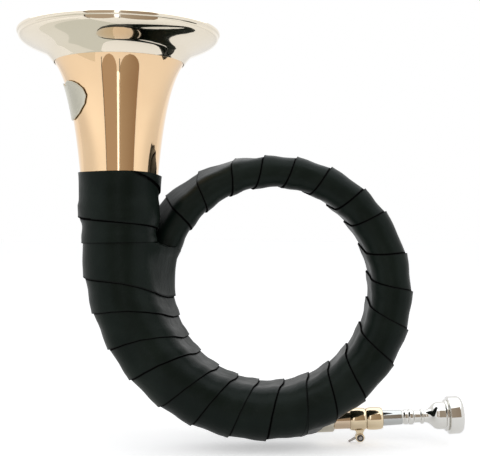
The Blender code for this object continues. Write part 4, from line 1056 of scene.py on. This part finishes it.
@dataclass
class BellWork:
    """Turned brass bell, its garland rolled round a wire, and the bare badge plate."""

    course: HornCourse
    steps: int = 176
    wall: float = 0.5 * MM
    lip_z: float = 145.5 * MM
    lip_radius: float = 61.6 * MM
    lip_pull: float = 5.0 * MM
    garland_z: float = 140.3 * MM
    sheet: float = 0.5 * MM
    wire_radius: float = 1.0 * MM
    rim_above: float = 1.5 * MM
    roll: tuple[float, float] = (-62.0, 215.0)
    bell_rows: int = 44
    badge_tip: float = 103.2 * MM
    badge_height: float = 23.6 * MM
    badge_turn: float = 22.0
    badge_half: float = 37.0
    badge_raise: float = 1.1 * MM
    badge_border: float = 0.16 * MM
    badge_dome: float = 0.05 * MM
    badge_thickness: float = 0.6 * MM
    badge_rounding: float = 0.12 * MM
    bow_first: float = 540.4
    bow_last: float = 831.0

    def lip(self, steps: int) -> list[tuple[float, float]]:
        """(z, radius) points up the outside of the bell's lip."""
        start = self.course.bell_radius(self.lip_z)
        slope = (self.course.bell_radius(self.lip_z + 0.1 * MM) - start) / (0.1 * MM)
        heading = np.array((1.0, slope)) / math.hypot(1.0, slope)
        low = np.array((self.lip_z, start))
        high = np.array((self.course.bell_mouth_z, self.lip_radius))
        curve = (low, low + heading * self.lip_pull, high - np.array((self.lip_pull, 0.0)), high)
        return [tuple(bezier(curve, step / steps)) for step in range(steps + 1)]

    def outline(self) -> list[tuple[float, float]]:
        """(z, radius) points up the outside of the bell."""
        base = self.course.bell_joint_z + GAP / 2.0
        shares = np.arange(self.bell_rows) / self.bell_rows
        rows = [lerp(base, self.lip_z, 1.0 - (1.0 - share) ** 1.3) for share in shares]
        return [(z, self.course.bell_radius(z)) for z in rows] + self.lip(14)

    @staticmethod
    def offset(outline: Profile, distance: float) -> list[tuple[float, float]]:
        """Move an outline outwards, square to itself."""
        line = np.array(outline)
        run = np.gradient(line, axis=0)
        run /= np.linalg.norm(run, axis=1, keepdims=True)
        moved = line + np.stack((-run[:, 1], run[:, 0]), -1) * distance
        return [tuple(point) for point in moved]

    def rim_centre(self) -> tuple[float, float]:
        """(z, radius) of the wire in the rim."""
        return self.course.bell_mouth_z + self.rim_above, self.lip_radius + GAP + self.sheet - 1.0 * MM

    def on_axis(self, mesh_data: bmesh.types.BMesh) -> bmesh.types.BMesh:
        """Bring a shape from the Z axis to the bell's own axis."""
        shift = (self.course.bell_x, self.course.bell_y, 0.0)
        bmesh.ops.translate(mesh_data, vec=shift, verts=mesh_data.verts)
        return mesh_data

    def build_bell(self) -> None:
        """Turn the bell with its thin wall."""
        outside = self.outline()
        inside = self.offset(outside, -self.wall)
        inside[-1] = (outside[-1][0], inside[-1][1])
        inside[0] = (outside[0][0], inside[0][1])
        mesh_data = self.on_axis(turned(outside + inside[::-1], self.steps, TurnAxis.BELL))
        add_piece("bell_body", mesh_data, (GOLD_BRASS,), Body.HORN, "bell")

    def build_garland(self) -> None:
        """Turn the band over the flare, rolled round the rim wire."""
        rows = np.linspace(self.garland_z, self.lip_z, 7)[:-1]
        line = [(z, self.course.bell_radius(z)) for z in rows] + self.lip(18)[:-1]
        z, out = self.rim_centre()
        rolls = []
        for radius in (self.wire_radius + GAP + self.sheet, self.wire_radius + GAP):
            around = np.radians(np.linspace(*self.roll, 27))
            rolls.append(list(zip(z + radius * np.sin(around), out + radius * np.cos(around))))
        outside = self.offset(line, GAP + self.sheet)
        outside[0] = (*outside[0], 0.2 * MM)
        inside = self.offset(line, GAP)
        profile = outside + rolls[0] + rolls[1][::-1] + inside[::-1]
        mesh_data = self.on_axis(turned(profile, self.steps, TurnAxis.BELL))
        add_piece("garland_band", mesh_data, (GARLAND_SILVER,), Body.HORN, "garland")

    def build_badge(self) -> None:
        """Shape the heart plate to the bell's side, with a fine raised border and no marks."""
        side = ((0.0, 0.88), (0.12, 0.97), (0.28, 1.0), (0.52, 0.955), (0.72, 0.88), (0.92, 0.74),
                (1.0, 0.56), (0.88, 0.35), (0.57, 0.14), (0.25, 0.035), (0.0, 0.0))
        corners = np.array(list(side) + [(-x, y) for x, y in side[1:-1]][::-1] + [side[0]])
        run = run_along(corners)
        mesh_data = ringed_disc(120, 12)
        for vert in mesh_data.verts:
            out = vert.co.length
            way = (math.atan2(vert.co.x, vert.co.y) / (2.0 * math.pi)) % 1.0 * run[-1]
            edge = looked_up(way, run, corners)
            x, y = edge[0] * out, lerp(0.55, edge[1], out)
            border = smooth((out - 0.90) / 0.03) * (1.0 - smooth((out - 0.97) / 0.03))
            around = math.pi + math.radians(self.badge_turn + x * self.badge_half)
            z = self.badge_tip + self.badge_height * y
            raised = self.badge_raise + self.badge_border * border + self.badge_dome * (1.0 - out * out)
            radius = self.course.bell_radius(z) + raised
            vert.co = (radius * math.cos(around), radius * math.sin(around), z)
        face_towards(mesh_data, (-1.0, 0.0, 0.0))
        item = add_piece("badge_plate", self.on_axis(mesh_data), (BADGE_SILVER,), Body.HORN, "badge")
        thicken(item, self.badge_thickness)
        round_edges(item, self.badge_rounding, 50.0)

    def build_bow(self) -> None:
        """Sweep the wide tube below the bell, whose bore shows through the bell's mouth."""

        def surface(along: np.ndarray, round_share: np.ndarray) -> np.ndarray:
            """Points round the tube's outside."""
            spots = np.zeros((len(along), 3))
            for share in np.unique(along):
                chosen = along == share
                around = 2.0 * math.pi * round_share[chosen]
                if share > 0.999:
                    joint = self.course.bell_joint_z
                    middle = (self.course.bell_x, self.course.bell_y, joint - GAP / 2.0)
                    spots[chosen] = level_ring(around) * self.course.bell_radius(joint) + np.array(middle)
                    continue
                angle = lerp(self.bow_first, self.bow_last, share)
                place = (angle + 18.0) % 360.0 - 18.0
                plane = self.course.plane(place)
                out, y, radius = self.course.crossing(plane, angle)
                tall = np.interp(angle, self.course.angles, self.course.radii)
                spots[chosen] = plane.point(out + radius * np.cos(around), y + tall * np.sin(around))
            return spots

        mesh_data = mapped_grid(100, 48, surface)
        bmesh.ops.remove_doubles(mesh_data, verts=mesh_data.verts, dist=0.01 * MM)
        bmesh.ops.recalc_face_normals(mesh_data, faces=mesh_data.faces)
        item = add_piece("bow_bore", mesh_data, (BARE_BRASS,), Body.HORN, "bow_tube")
        thicken(item, self.wall)

    def build(self) -> None:
        """Build the bell's pieces."""
        self.build_bell()
        self.build_garland()
        self.build_badge()
        self.build_bow()


@dataclass
class PipeWork:
    """What stands on the mouthpipe's axis: ferrule, pipe, clamp, slide, receiver and mouthpiece.

    Places are along the axis, from the joint of the two collars.
    """

    course: HornCourse
    steps: int = 96
    pipe_radius: float = 5.95 * MM
    pipe_wall: float = 0.45 * MM
    slide_wall: float = 0.4 * MM
    collar_length: float = 10.5 * MM
    collar_radius: float = 7.4 * MM
    collar_end_radius: float = 6.75 * MM
    ear_centre: float = -4.5 * MM
    ear_drop: float = 11.8 * MM
    ear_radius: float = 3.0 * MM
    ear_thickness: float = 2.2 * MM
    slit: float = 0.8 * MM
    screw_radius: float = 1.2 * MM
    lever_angle: float = 206.4
    lever_length: float = 8.0 * MM
    lever_thickness: float = 1.8 * MM
    lever_eye: float = 2.3 * MM
    lever_waist: float = 0.85 * MM
    lever_end: float = 0.65 * MM
    screw_past: float = 2.2 * MM
    neck_width: float = 4.4 * MM
    notch_radius: float = 1.4 * MM
    shank_length: float = 13.0 * MM
    ferrule: tuple[float, float, float] = (-38.0 * MM, -22.1 * MM, -21.1 * MM)
    ferrule_radius: float = 7.6 * MM
    pipe_start: float = -30.7 * MM
    slide_start: float = -26.0 * MM
    slide_seat: float = 4.2 * MM
    socket_radius: float = 4.45 * MM

    def matrix(self) -> Matrix:
        """Matrix from the mouthpipe's own axes to the horn's."""
        x, z = self.course.pipe_point(0.0)
        turn = Matrix.Rotation(-math.radians(self.course.pipe_rise), 4, "Y")
        return Matrix.Translation((x, self.course.back_y, z)) @ turn

    def place(self, mesh_data: bmesh.types.BMesh,
              shift: Sequence[float] = (0.0, 0.0, 0.0)) -> bmesh.types.BMesh:
        """Bring a shape from the mouthpipe's own axes to the horn's, after a shift."""
        matrix = self.matrix() @ Matrix.Translation(shift)
        bmesh.ops.transform(mesh_data, matrix=matrix, verts=mesh_data.verts)
        return mesh_data

    def turn_piece(self, name: str, profile: Profile, finish: PlateFinish, body: Body,
                   node: str) -> None:
        """Turn a piece on the mouthpipe's axis."""
        mesh_data = self.place(turned(profile, self.steps, TurnAxis.PIPE))
        add_piece(name, mesh_data, (finish,), body, node)

    def barrel(self, start: float, end: float) -> list[tuple[float, ...]]:
        """Outside of a collar that swells to its middle, with rounded ends."""
        swell = self.collar_radius - self.collar_end_radius
        points = [(start, self.collar_end_radius - 0.2 * swell, 0.18 * MM)]
        for step in range(1, 12):
            share = step / 12
            arch = 1.0 - (2.0 * share - 1.0) ** 2
            points.append((lerp(start, end, share), self.collar_end_radius + swell * arch ** 0.7))
        return points + [(end, self.collar_end_radius - 0.2 * swell, 0.18 * MM)]

    def build_pipe(self) -> None:
        """Turn the ferrule and the fixed pipe."""
        bore = self.pipe_radius + GAP
        outer = self.ferrule_radius
        start, neck, end = self.ferrule
        ferrule = [(start, bore), (start, outer, 0.3 * MM), (neck, outer, 0.25 * MM),
                   (end, outer - 1.0 * MM, 0.2 * MM), (end, bore)]
        self.turn_piece("pipe_ferrule", ferrule, PIPE_SILVER, Body.HORN, "mouthpipe_ferrule")
        pipe = self.tube(self.pipe_start, -GAP, self.pipe_radius, self.pipe_wall)
        self.turn_piece("pipe_tube", pipe, PIPE_BRASS, Body.HORN, "mouthpipe")

    @staticmethod
    def tube(start: float, end: float, outer: float, wall: float) -> list[tuple[float, ...]]:
        """Profile of a plain tube, with its outer edges rounded."""
        bore, rounding = outer - wall, 0.1 * MM
        return [(start, bore), (start, outer, rounding), (end, outer, rounding), (end, bore)]

    def build_slide(self) -> None:
        """Turn the tuning slide and its receiver collar."""
        outer = self.pipe_radius - self.pipe_wall - GAP
        slide = self.tube(self.slide_start, self.slide_seat, outer, self.slide_wall)
        self.turn_piece("slide_tube", slide, PIPE_SILVER, Body.SLIDE, "tuning_slide")
        start, end = GAP / 2.0, GAP / 2.0 + self.collar_length
        socket, seat, stop = self.socket_radius + 1.5 * GAP, outer + GAP, self.slide_seat + GAP
        profile = self.barrel(start, end) + [(end, socket, 0.12 * MM), (stop, socket), (stop, seat),
                                             (start, seat, 0.12 * MM)]
        self.turn_piece("receiver_barrel", profile, ROSE_BRASS, Body.SLIDE, "receiver_collar")

    @staticmethod
    def cylinder(radius: float, length: float, spot: Sequence[float] = (0.0, 0.0, 0.0),
                 segments: int = 48) -> bmesh.types.BMesh:
        """Cylinder in the screw's direction, about a spot."""
        mesh_data = bmesh.new()
        matrix = Matrix.Translation(spot) @ Matrix.Rotation(math.pi / 2.0, 4, "X")
        bmesh.ops.create_cone(mesh_data, cap_ends=True, segments=segments, radius1=radius,
                              radius2=radius, depth=length, matrix=matrix)
        return mesh_data

    @staticmethod
    def block(size: Sequence[float], spot: Sequence[float]) -> bmesh.types.BMesh:
        """Block of a size, about a spot."""
        mesh_data = bmesh.new()
        matrix = Matrix.Translation(spot) @ Matrix.Diagonal((*size, 1.0))
        bmesh.ops.create_cube(mesh_data, size=1.0, matrix=matrix)
        return mesh_data

    @property
    def ear_spot(self) -> tuple[float, float, float]:
        """Middle of the ears, which the screw goes through."""
        return self.ear_centre, 0.0, -self.ear_drop

    def ear(self) -> bmesh.types.BMesh:
        """Disc of the two ears, still in one."""
        wide = 2.0 * self.ear_thickness + self.slit
        mesh_data = self.cylinder(self.ear_radius, wide, self.ear_spot, 64)
        soften_rims(mesh_data, 0.3 * MM)
        return mesh_data

    def neck(self) -> bmesh.types.BMesh:
        """Waisted block between the collar and the ears."""
        wide = 2.0 * self.ear_thickness + self.slit - 0.3 * MM
        low, high = -self.ear_drop + 1.0 * MM, -self.collar_end_radius + 0.6 * MM
        middle = (self.ear_centre, 0.0, (low + high) / 2.0)
        mesh_data = self.block((self.neck_width, wide, high - low), middle)
        upright = [edge for edge in mesh_data.edges
                   if abs(edge.verts[0].co.z - edge.verts[1].co.z) > 1e-4]
        bmesh.ops.subdivide_edges(mesh_data, edges=upright, cuts=6, use_grid_fill=True)
        for vert in mesh_data.verts:
            share = (vert.co.z - low) / (high - low)
            flare = 1.0 + 0.5 * smooth((share - 0.45) / 0.55)
            vert.co.x = self.ear_centre + (vert.co.x - self.ear_centre) * flare
        return mesh_data

    def build_clamp(self) -> None:
        """Shape the split collar: a barrel with two ears, a slit, a screw hole and a notch."""
        start, end = -GAP / 2.0 - self.collar_length, -GAP / 2.0
        bore = self.pipe_radius + GAP
        profile = self.barrel(start, end) + [(end, bore, 0.12 * MM), (start, bore, 0.12 * MM)]
        slit = self.block((2.0 * self.collar_length, self.slit, 14.0 * MM), (-5.0 * MM, 0.0, -10.2 * MM))
        hole = self.cylinder(self.screw_radius + GAP, 20.0 * MM, self.ear_spot)
        notch = self.cylinder(self.notch_radius, 2.0 * MM, (end, -self.collar_radius, 0.0))
        solid = self.combine(turned(profile, self.steps, TurnAxis.PIPE),
                             ((self.neck(), "UNION"), (self.ear(), "UNION"), (slit, "DIFFERENCE"),
                              (hole, "DIFFERENCE"), (notch, "DIFFERENCE")))
        add_piece("clamp_barrel", self.place(solid), (ROSE_BRASS,), Body.HORN, "clamp_collar")

    @staticmethod
    def combine(base: bmesh.types.BMesh,
                tools: Sequence[tuple[bmesh.types.BMesh, str]]) -> bmesh.types.BMesh:
        """Join tool shapes to a base, or cut them from it.

        Args:
            base: The shape to start from.
            tools: Shapes, each with its operation.

        Returns:
            The result. The shapes given are freed.
        """
        def stand_in(mesh_data: bmesh.types.BMesh) -> bpy.types.Object:
            """Object that holds a shape while it is combined."""
            bmesh.ops.recalc_face_normals(mesh_data, faces=mesh_data.faces)
            return stand("clamp_tool", mesh_data)

        held = [stand_in(base)]
        for tool, operation in tools:
            held.append(stand_in(tool))
            modifier = held[0].modifiers.new("combine", "BOOLEAN")
            modifier.operation = operation
            modifier.solver = "EXACT"
            modifier.object = held[-1]
        result = bmesh.new()
        result.from_object(held[0], bpy.context.evaluated_depsgraph_get())
        for item in held:
            mesh = item.data
            bpy.data.objects.remove(item)
            bpy.data.meshes.remove(mesh)
        bmesh.ops.remove_doubles(result, verts=result.verts, dist=1e-7)
        return result

    def build_screw(self) -> None:
        """Turn the clamp screw, with a grooved head, and shape the lever on its back end."""
        face = -self.ear_thickness - self.slit / 2.0 - GAP
        back = -face + self.screw_past
        head = ((0.0, 1.2), (0.0, 2.2, 0.1), (0.9, 2.2, 0.1), (0.9, 2.0, 0.05), (0.4, 1.9, 0.05),
                (0.4, 1.4, 0.05), (1.3, 1.3, 0.3), (1.4, 0.5, 0.05), (1.15, 0.35, 0.05), (1.15, 0.0))
        profile = [(back, 0.0), (back, self.screw_radius, 0.25 * MM)] + in_mm(head, face, -1.0)
        mesh_data = turned(profile, 48, TurnAxis.SCREW, closed=False)
        # Faces in the head's groove get the near-black finish: painted shade and painted dark reflection.
        for side in mesh_data.faces:
            middle = side.calc_center_median()
            if middle.y < face - 0.3 * MM and 1.32 * MM < math.hypot(middle.x, middle.z) < 2.0 * MM:
                side.material_index = 1
        add_piece("lever_screw_shaft", self.place(mesh_data, self.ear_spot), (SCREW_STEEL, GROOVE_SHADE),
                  Body.LEVER_SCREW, "clamp_screw")
        add_piece("lever_arm", self.place(self.lever(-face), self.ear_spot), (SCREW_STEEL,),
                  Body.LEVER_SCREW, "clamp_lever")

    def lever(self, low: float) -> bmesh.types.BMesh:
        """Shape the lever's plate with its eye on the screw, from a depth on."""
        eye, end = self.lever_eye, self.lever_end
        tip = self.lever_length - end
        base = math.asin(self.lever_waist / eye)
        outline = [(eye * math.cos(turn), eye * math.sin(turn))
                   for turn in np.linspace(base, 2.0 * math.pi - base, 40)]
        outline += [(tip + end * math.cos(turn), end * math.sin(turn))
                    for turn in np.linspace(-math.pi / 2.0, math.pi / 2.0, 15)]
        lever = bmesh.new()
        plate = lever.faces.new([lever.verts.new((x, low, z)) for x, z in outline])
        made = bmesh.ops.extrude_face_region(lever, geom=[plate])["geom"]
        corners = [item for item in made if isinstance(item, bmesh.types.BMVert)]
        bmesh.ops.translate(lever, vec=(0.0, self.lever_thickness, 0.0), verts=corners)
        bmesh.ops.recalc_face_normals(lever, faces=lever.faces)
        soften_rims(lever, 0.25 * MM)
        swing = Matrix.Rotation(-math.radians(self.lever_angle), 4, "Y")
        bmesh.ops.transform(lever, matrix=swing, verts=lever.verts)
        bore = self.cylinder(self.screw_radius + 0.05 * MM, 20.0 * MM)
        return self.combine(lever, ((bore, "DIFFERENCE"),))

    def build_mouthpiece(self) -> None:
        """Turn the mouthpiece: taper shank, beads, cup, step and rim, bored through."""
        outside = [(-20.0, 4.15, 0.2), (0.1, 4.45), (0.3, 5.1, 0.12), (12.6, 4.75, 0.2),
                   (13.2, 4.3, 0.3), (14.0, 4.3, 0.3), (14.6, 4.95, 0.25), (16.4, 4.95, 0.25),
                   (17.0, 4.3, 0.25), (17.9, 5.1, 0.3), (19.9, 5.1, 0.35), (21.0, 3.9, 0.4),
                   (25.0, 3.9, 0.3), (25.4, 4.95, 0.35), (26.9, 4.95, 0.35), (27.2, 3.85, 0.2),
                   (29.2, 4.0, 0.9), (31.6, 5.4, 1.1), (34.0, 8.0, 1.3), (36.0, 8.8, 1.0),
                   (40.8, 8.9, 0.15), (41.2, 10.3, 0.3), (42.4, 10.3, 0.3), (42.8, 9.4, 0.1),
                   (43.3, 12.2, 0.2), (50.0, 12.2, 0.6), (51.6, 11.4, 0.7), (52.4, 10.2, 0.6)]
        bore = [(52.0, 8.9, 0.6), (50.2, 8.3, 0.8), (45.5, 7.3, 2.0), (40.5, 5.4, 2.0), (36.5, 3.2, 0.8),
                (34.5, 1.9, 0.6), (31.5, 1.9, 0.3), (-20.0, 3.4, 0.1)]
        start = GAP / 2.0 + self.collar_length
        mesh_data = turned(in_mm(outside + bore, start), self.steps, TurnAxis.PIPE)
        # Faces on the shank get the darker copy of the plate, as painted shade.
        for face in mesh_data.faces:
            face.material_index = int(face.calc_center_median().x < start + self.shank_length)
        add_piece("mouthpiece_turned", self.place(mesh_data), (SILVER_PLATE, SHADED_SHANK_PLATE),
                  Body.MOUTHPIECE, "mouthpiece")

    def build(self) -> None:
        """Build every piece on the mouthpipe's axis."""
        self.build_pipe()
        self.build_clamp()
        self.build_screw()
        self.build_slide()
        self.build_mouthpiece()


def dress_kept_nodes() -> None:
    """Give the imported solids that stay, all under the leather or in the rim, their finishes."""
    finishes = {"coil_tube": BARE_BRASS, "coil_ferrule": PIPE_SILVER, "bell_ferrule": PIPE_SILVER,
                "rim_wire": WIRE_STEEL}
    for node, finish in finishes.items():
        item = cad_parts[node]
        item.data.materials.clear()
        item.data.materials.append(finish.material())
        LOG.info("%s: kept from the packed part", node)


# Studio

@dataclass(frozen=True)
class Card:
    """Reflector card that lies on the floor and then stands up, and that only polished metal sees.

    Its bearings are in degrees from straight towards the viewer, to the right, and its
    distances are from the bell's axis.
    """

    name: str
    low_bearing: float
    high_bearing: float
    near: float
    far: float
    top: float
    shade: Colour
    rounding: float = 0.0
    level: float | None = None
    end_shade: Colour | None = None

    def mesh(self, middle: tuple[float, float], floor: float) -> bmesh.types.BMesh:
        """Lay out the card round a middle, on a floor's height."""
        centre = (self.low_bearing + self.high_bearing) / 2.0
        half = (self.high_bearing - self.low_bearing) / 2.0

        def surface(first: np.ndarray, second: np.ndarray) -> np.ndarray:
            """Points of the card."""
            lying = np.clip(second * 2.0, 0.0, 1.0)
            reach = lerp(self.near, self.far, lying)
            base = floor + 1.0 * MM if self.level is None else self.level
            height = lerp(base, self.top, np.clip(second * 2.0 - 1.0, 0.0, 1.0))
            spread = half
            if self.rounding > 0.0:
                rest = np.clip(1.0 - (reach - self.near) / self.rounding, 0.0, 1.0)
                spread = half * np.sqrt(1.0 - rest * rest)
            bearing = np.radians(centre + (2.0 * first - 1.0) * spread)
            x = middle[0] + reach * np.sin(bearing)
            return np.stack((x, middle[1] - reach * np.cos(bearing), height), -1)

        return mapped_grid(16, 48, surface, "card")


@dataclass
class Studio:
    """Pale floor, white surroundings, soft lights, reflector cards and the camera."""

    course: HornCourse
    camera_place: tuple[float, float, float] = (-20.5 * MM, -580.0 * MM, 37.0 * MM)
    focal_px: float = 906.0
    image_px: float = 480.0
    sky: float = 0.62
    sky_colour: tuple[float, ...] = (0.97, 0.98, 1.0, 1.0)
    white: tuple[float, ...] = (1.0, 1.0, 1.0, 1.0)
    floor_shade: float = 0.93
    floor_lift: float = 0.42
    floor_shine: float = 0.26
    cards: tuple[Card, ...] = (
        Card("card_left", -28.0, 2.0, 0.235, 0.62, 0.7, (0.49, 0.40, 0.315), 0.16),
        Card("card_right", 8.4, 48.0, 0.235, 0.62, 0.7, (0.46, 0.39, 0.31), 0.16,
             end_shade=(0.33, 0.25, 0.18)),
        Card("card_left_frame", -29.4, -28.0, 0.28, 0.61, 0.7, (0.06, 0.04, 0.03)),
        Card("gap_light", 2.6, 6.8, 0.42, 0.63, 0.7, (2.2, 2.2, 2.3)),
        Card("camera_stand", 6.9, 8.3, 0.28, 0.41, -0.09, (0.01, 0.01, 0.01)),
        Card("camera_column", 6.9, 8.0, 0.52, 0.57, 0.02, (0.01, 0.01, 0.01)),
        Card("table_low", -190.0, -30.0, 0.0, 0.23, -0.1035, (0.70, 0.72, 0.69)),
        Card("table_side", -200.0, -42.0, 0.23, 0.36, -0.1035, (0.84, 0.85, 0.83)),
        Card("ceiling", -180.0, 180.0, 0.0, 1.4, 1.0, (1.9, 1.95, 2.0), level=1.0),
    )

    def build_camera(self) -> None:
        """Place the camera as the photograph was taken, level and from the front."""
        data = bpy.data.cameras.new("viewer")
        data.sensor_width = 36.0
        data.lens = self.focal_px * data.sensor_width / self.image_px
        data.clip_start, data.clip_end = 0.01, 50.0
        camera = bpy.data.objects.new("viewer", data)
        camera.location = self.camera_place
        camera.rotation_euler = (math.pi / 2.0, 0.0, 0.0)
        bpy.context.scene.collection.objects.link(camera)
        bpy.context.scene.camera = camera

    def build_world(self) -> None:
        """White surroundings for the camera and for reflections, and a softer level for light."""
        world = bpy.data.worlds.new("surroundings")
        bpy.context.scene.world = world
        world.use_nodes = True
        world.node_tree.nodes.clear()
        work = NodeWork(world.node_tree)
        path = work.node("ShaderNodeLightPath").outputs
        seen = work.math("MAXIMUM", path["Is Camera Ray"], path["Is Glossy Ray"])
        seen = work.math("MAXIMUM", seen, path["Is Transmission Ray"])
        light = work.node("ShaderNodeBackground", {"Color": self.sky_colour, "Strength": self.sky})
        white = work.node("ShaderNodeBackground", {"Color": self.white, "Strength": 1.0})
        mixed = work.node("ShaderNodeMixShader", {0: seen, 1: light.outputs[0], 2: white.outputs[0]})
        work.node("ShaderNodeOutputWorld", {"Surface": mixed.outputs[0]})

    def build_floor(self) -> None:
        """Lay the pale floor just under the horn."""
        mesh_data = bmesh.new()
        matrix = Matrix.Translation((0.0, 0.0, CAD_BOX[0][2] - 0.2 * MM))
        bmesh.ops.create_circle(mesh_data, cap_ends=True, segments=96, radius=9.0, matrix=matrix)
        shading = Shading("pale_floor")
        pale = self.floor_shade
        cloud = shading.noise(3.0, 2.0)
        colour = shading.mix(cloud, (pale, pale, pale), (pale * 0.99, pale * 0.99, pale * 0.985))
        path = shading.node("ShaderNodeLightPath").outputs
        seen = shading.math("MULTIPLY", path["Is Camera Ray"], self.floor_lift)
        mirrored = shading.math("MULTIPLY", path["Is Glossy Ray"], self.floor_shine)
        shading.dress({"Base Color": colour, "Roughness": 0.9, "Specular IOR Level": 0.1,
                       "Emission Color": self.white,
                       "Emission Strength": shading.math("MAXIMUM", seen, mirrored)})
        stand("floor", mesh_data, (shading.material,))

    def build_cards(self) -> None:
        """Stand the reflector cards, which neither the camera nor the shadows show."""
        for card in self.cards:
            shading = Shading(card.name)
            glow = (*card.shade, 1.0)
            if card.end_shade is not None:
                shares = shading.node("ShaderNodeUVMap", uv_map="card").outputs[0]
                along = shading.node("ShaderNodeSeparateXYZ", {"Vector": shares}).outputs[0]
                glow = shading.mix(along, card.shade, card.end_shade)
            shading.dress({"Emission Color": glow, "Emission Strength": 1.0,
                           "Base Color": (0.0, 0.0, 0.0, 1.0), "Specular IOR Level": 0.0})
            middle = (self.course.bell_x, self.course.bell_y)
            item = stand(card.name, card.mesh(middle, CAD_BOX[0][2]), (shading.material,))
            for rays in ("camera", "diffuse", "shadow", "transmission"):
                setattr(item, f"visible_{rays}", False)

    def build_light(self, name: str, spot: Sequence[float], aim: Sequence[float], size: float,
                    power: float) -> None:
        """Hang a square soft light.

        Args:
            name: The light's name.
            spot: Where it hangs.
            aim: What it points at.
            size: Length of its side in metres.
            power: Its power in watts.
        """
        data = bpy.data.lights.new(name, "AREA")
        data.shape = "SQUARE"
        data.size = size
        data.energy = power
        light = bpy.data.objects.new(name, data)
        light.location = spot
        heading = Vector(aim) - Vector(spot)
        light.rotation_euler = heading.to_track_quat("-Z", "Y").to_euler()
        light.visible_glossy = False
        light.visible_camera = False
        bpy.context.scene.collection.objects.link(light)

    def build(self) -> None:
        """Build the studio."""
        self.build_camera()
        self.build_world()
        self.build_floor()
        self.build_cards()
        self.build_light("soft_left", (-1.3, -1.0, 1.1), (0.0, 0.0, 0.0), 1.4, 9.0)
        self.build_light("soft_right", (1.4, -0.9, 0.9), (0.0, 0.0, 0.0), 1.2, 5.0)
        bpy.context.scene.view_settings.view_transform = "Standard"


def main() -> None:
    """Dress the horn and set up its studio."""
    logging.basicConfig(level=logging.INFO, format="%(name)s: %(message)s")
    course = HornCourse()
    Studio(course).build()
    BellWork(course).build()
    PipeWork(course).build()
    LeatherBinding(course).build()
    dress_kept_nodes()


if __name__ == "__main__":
    main()
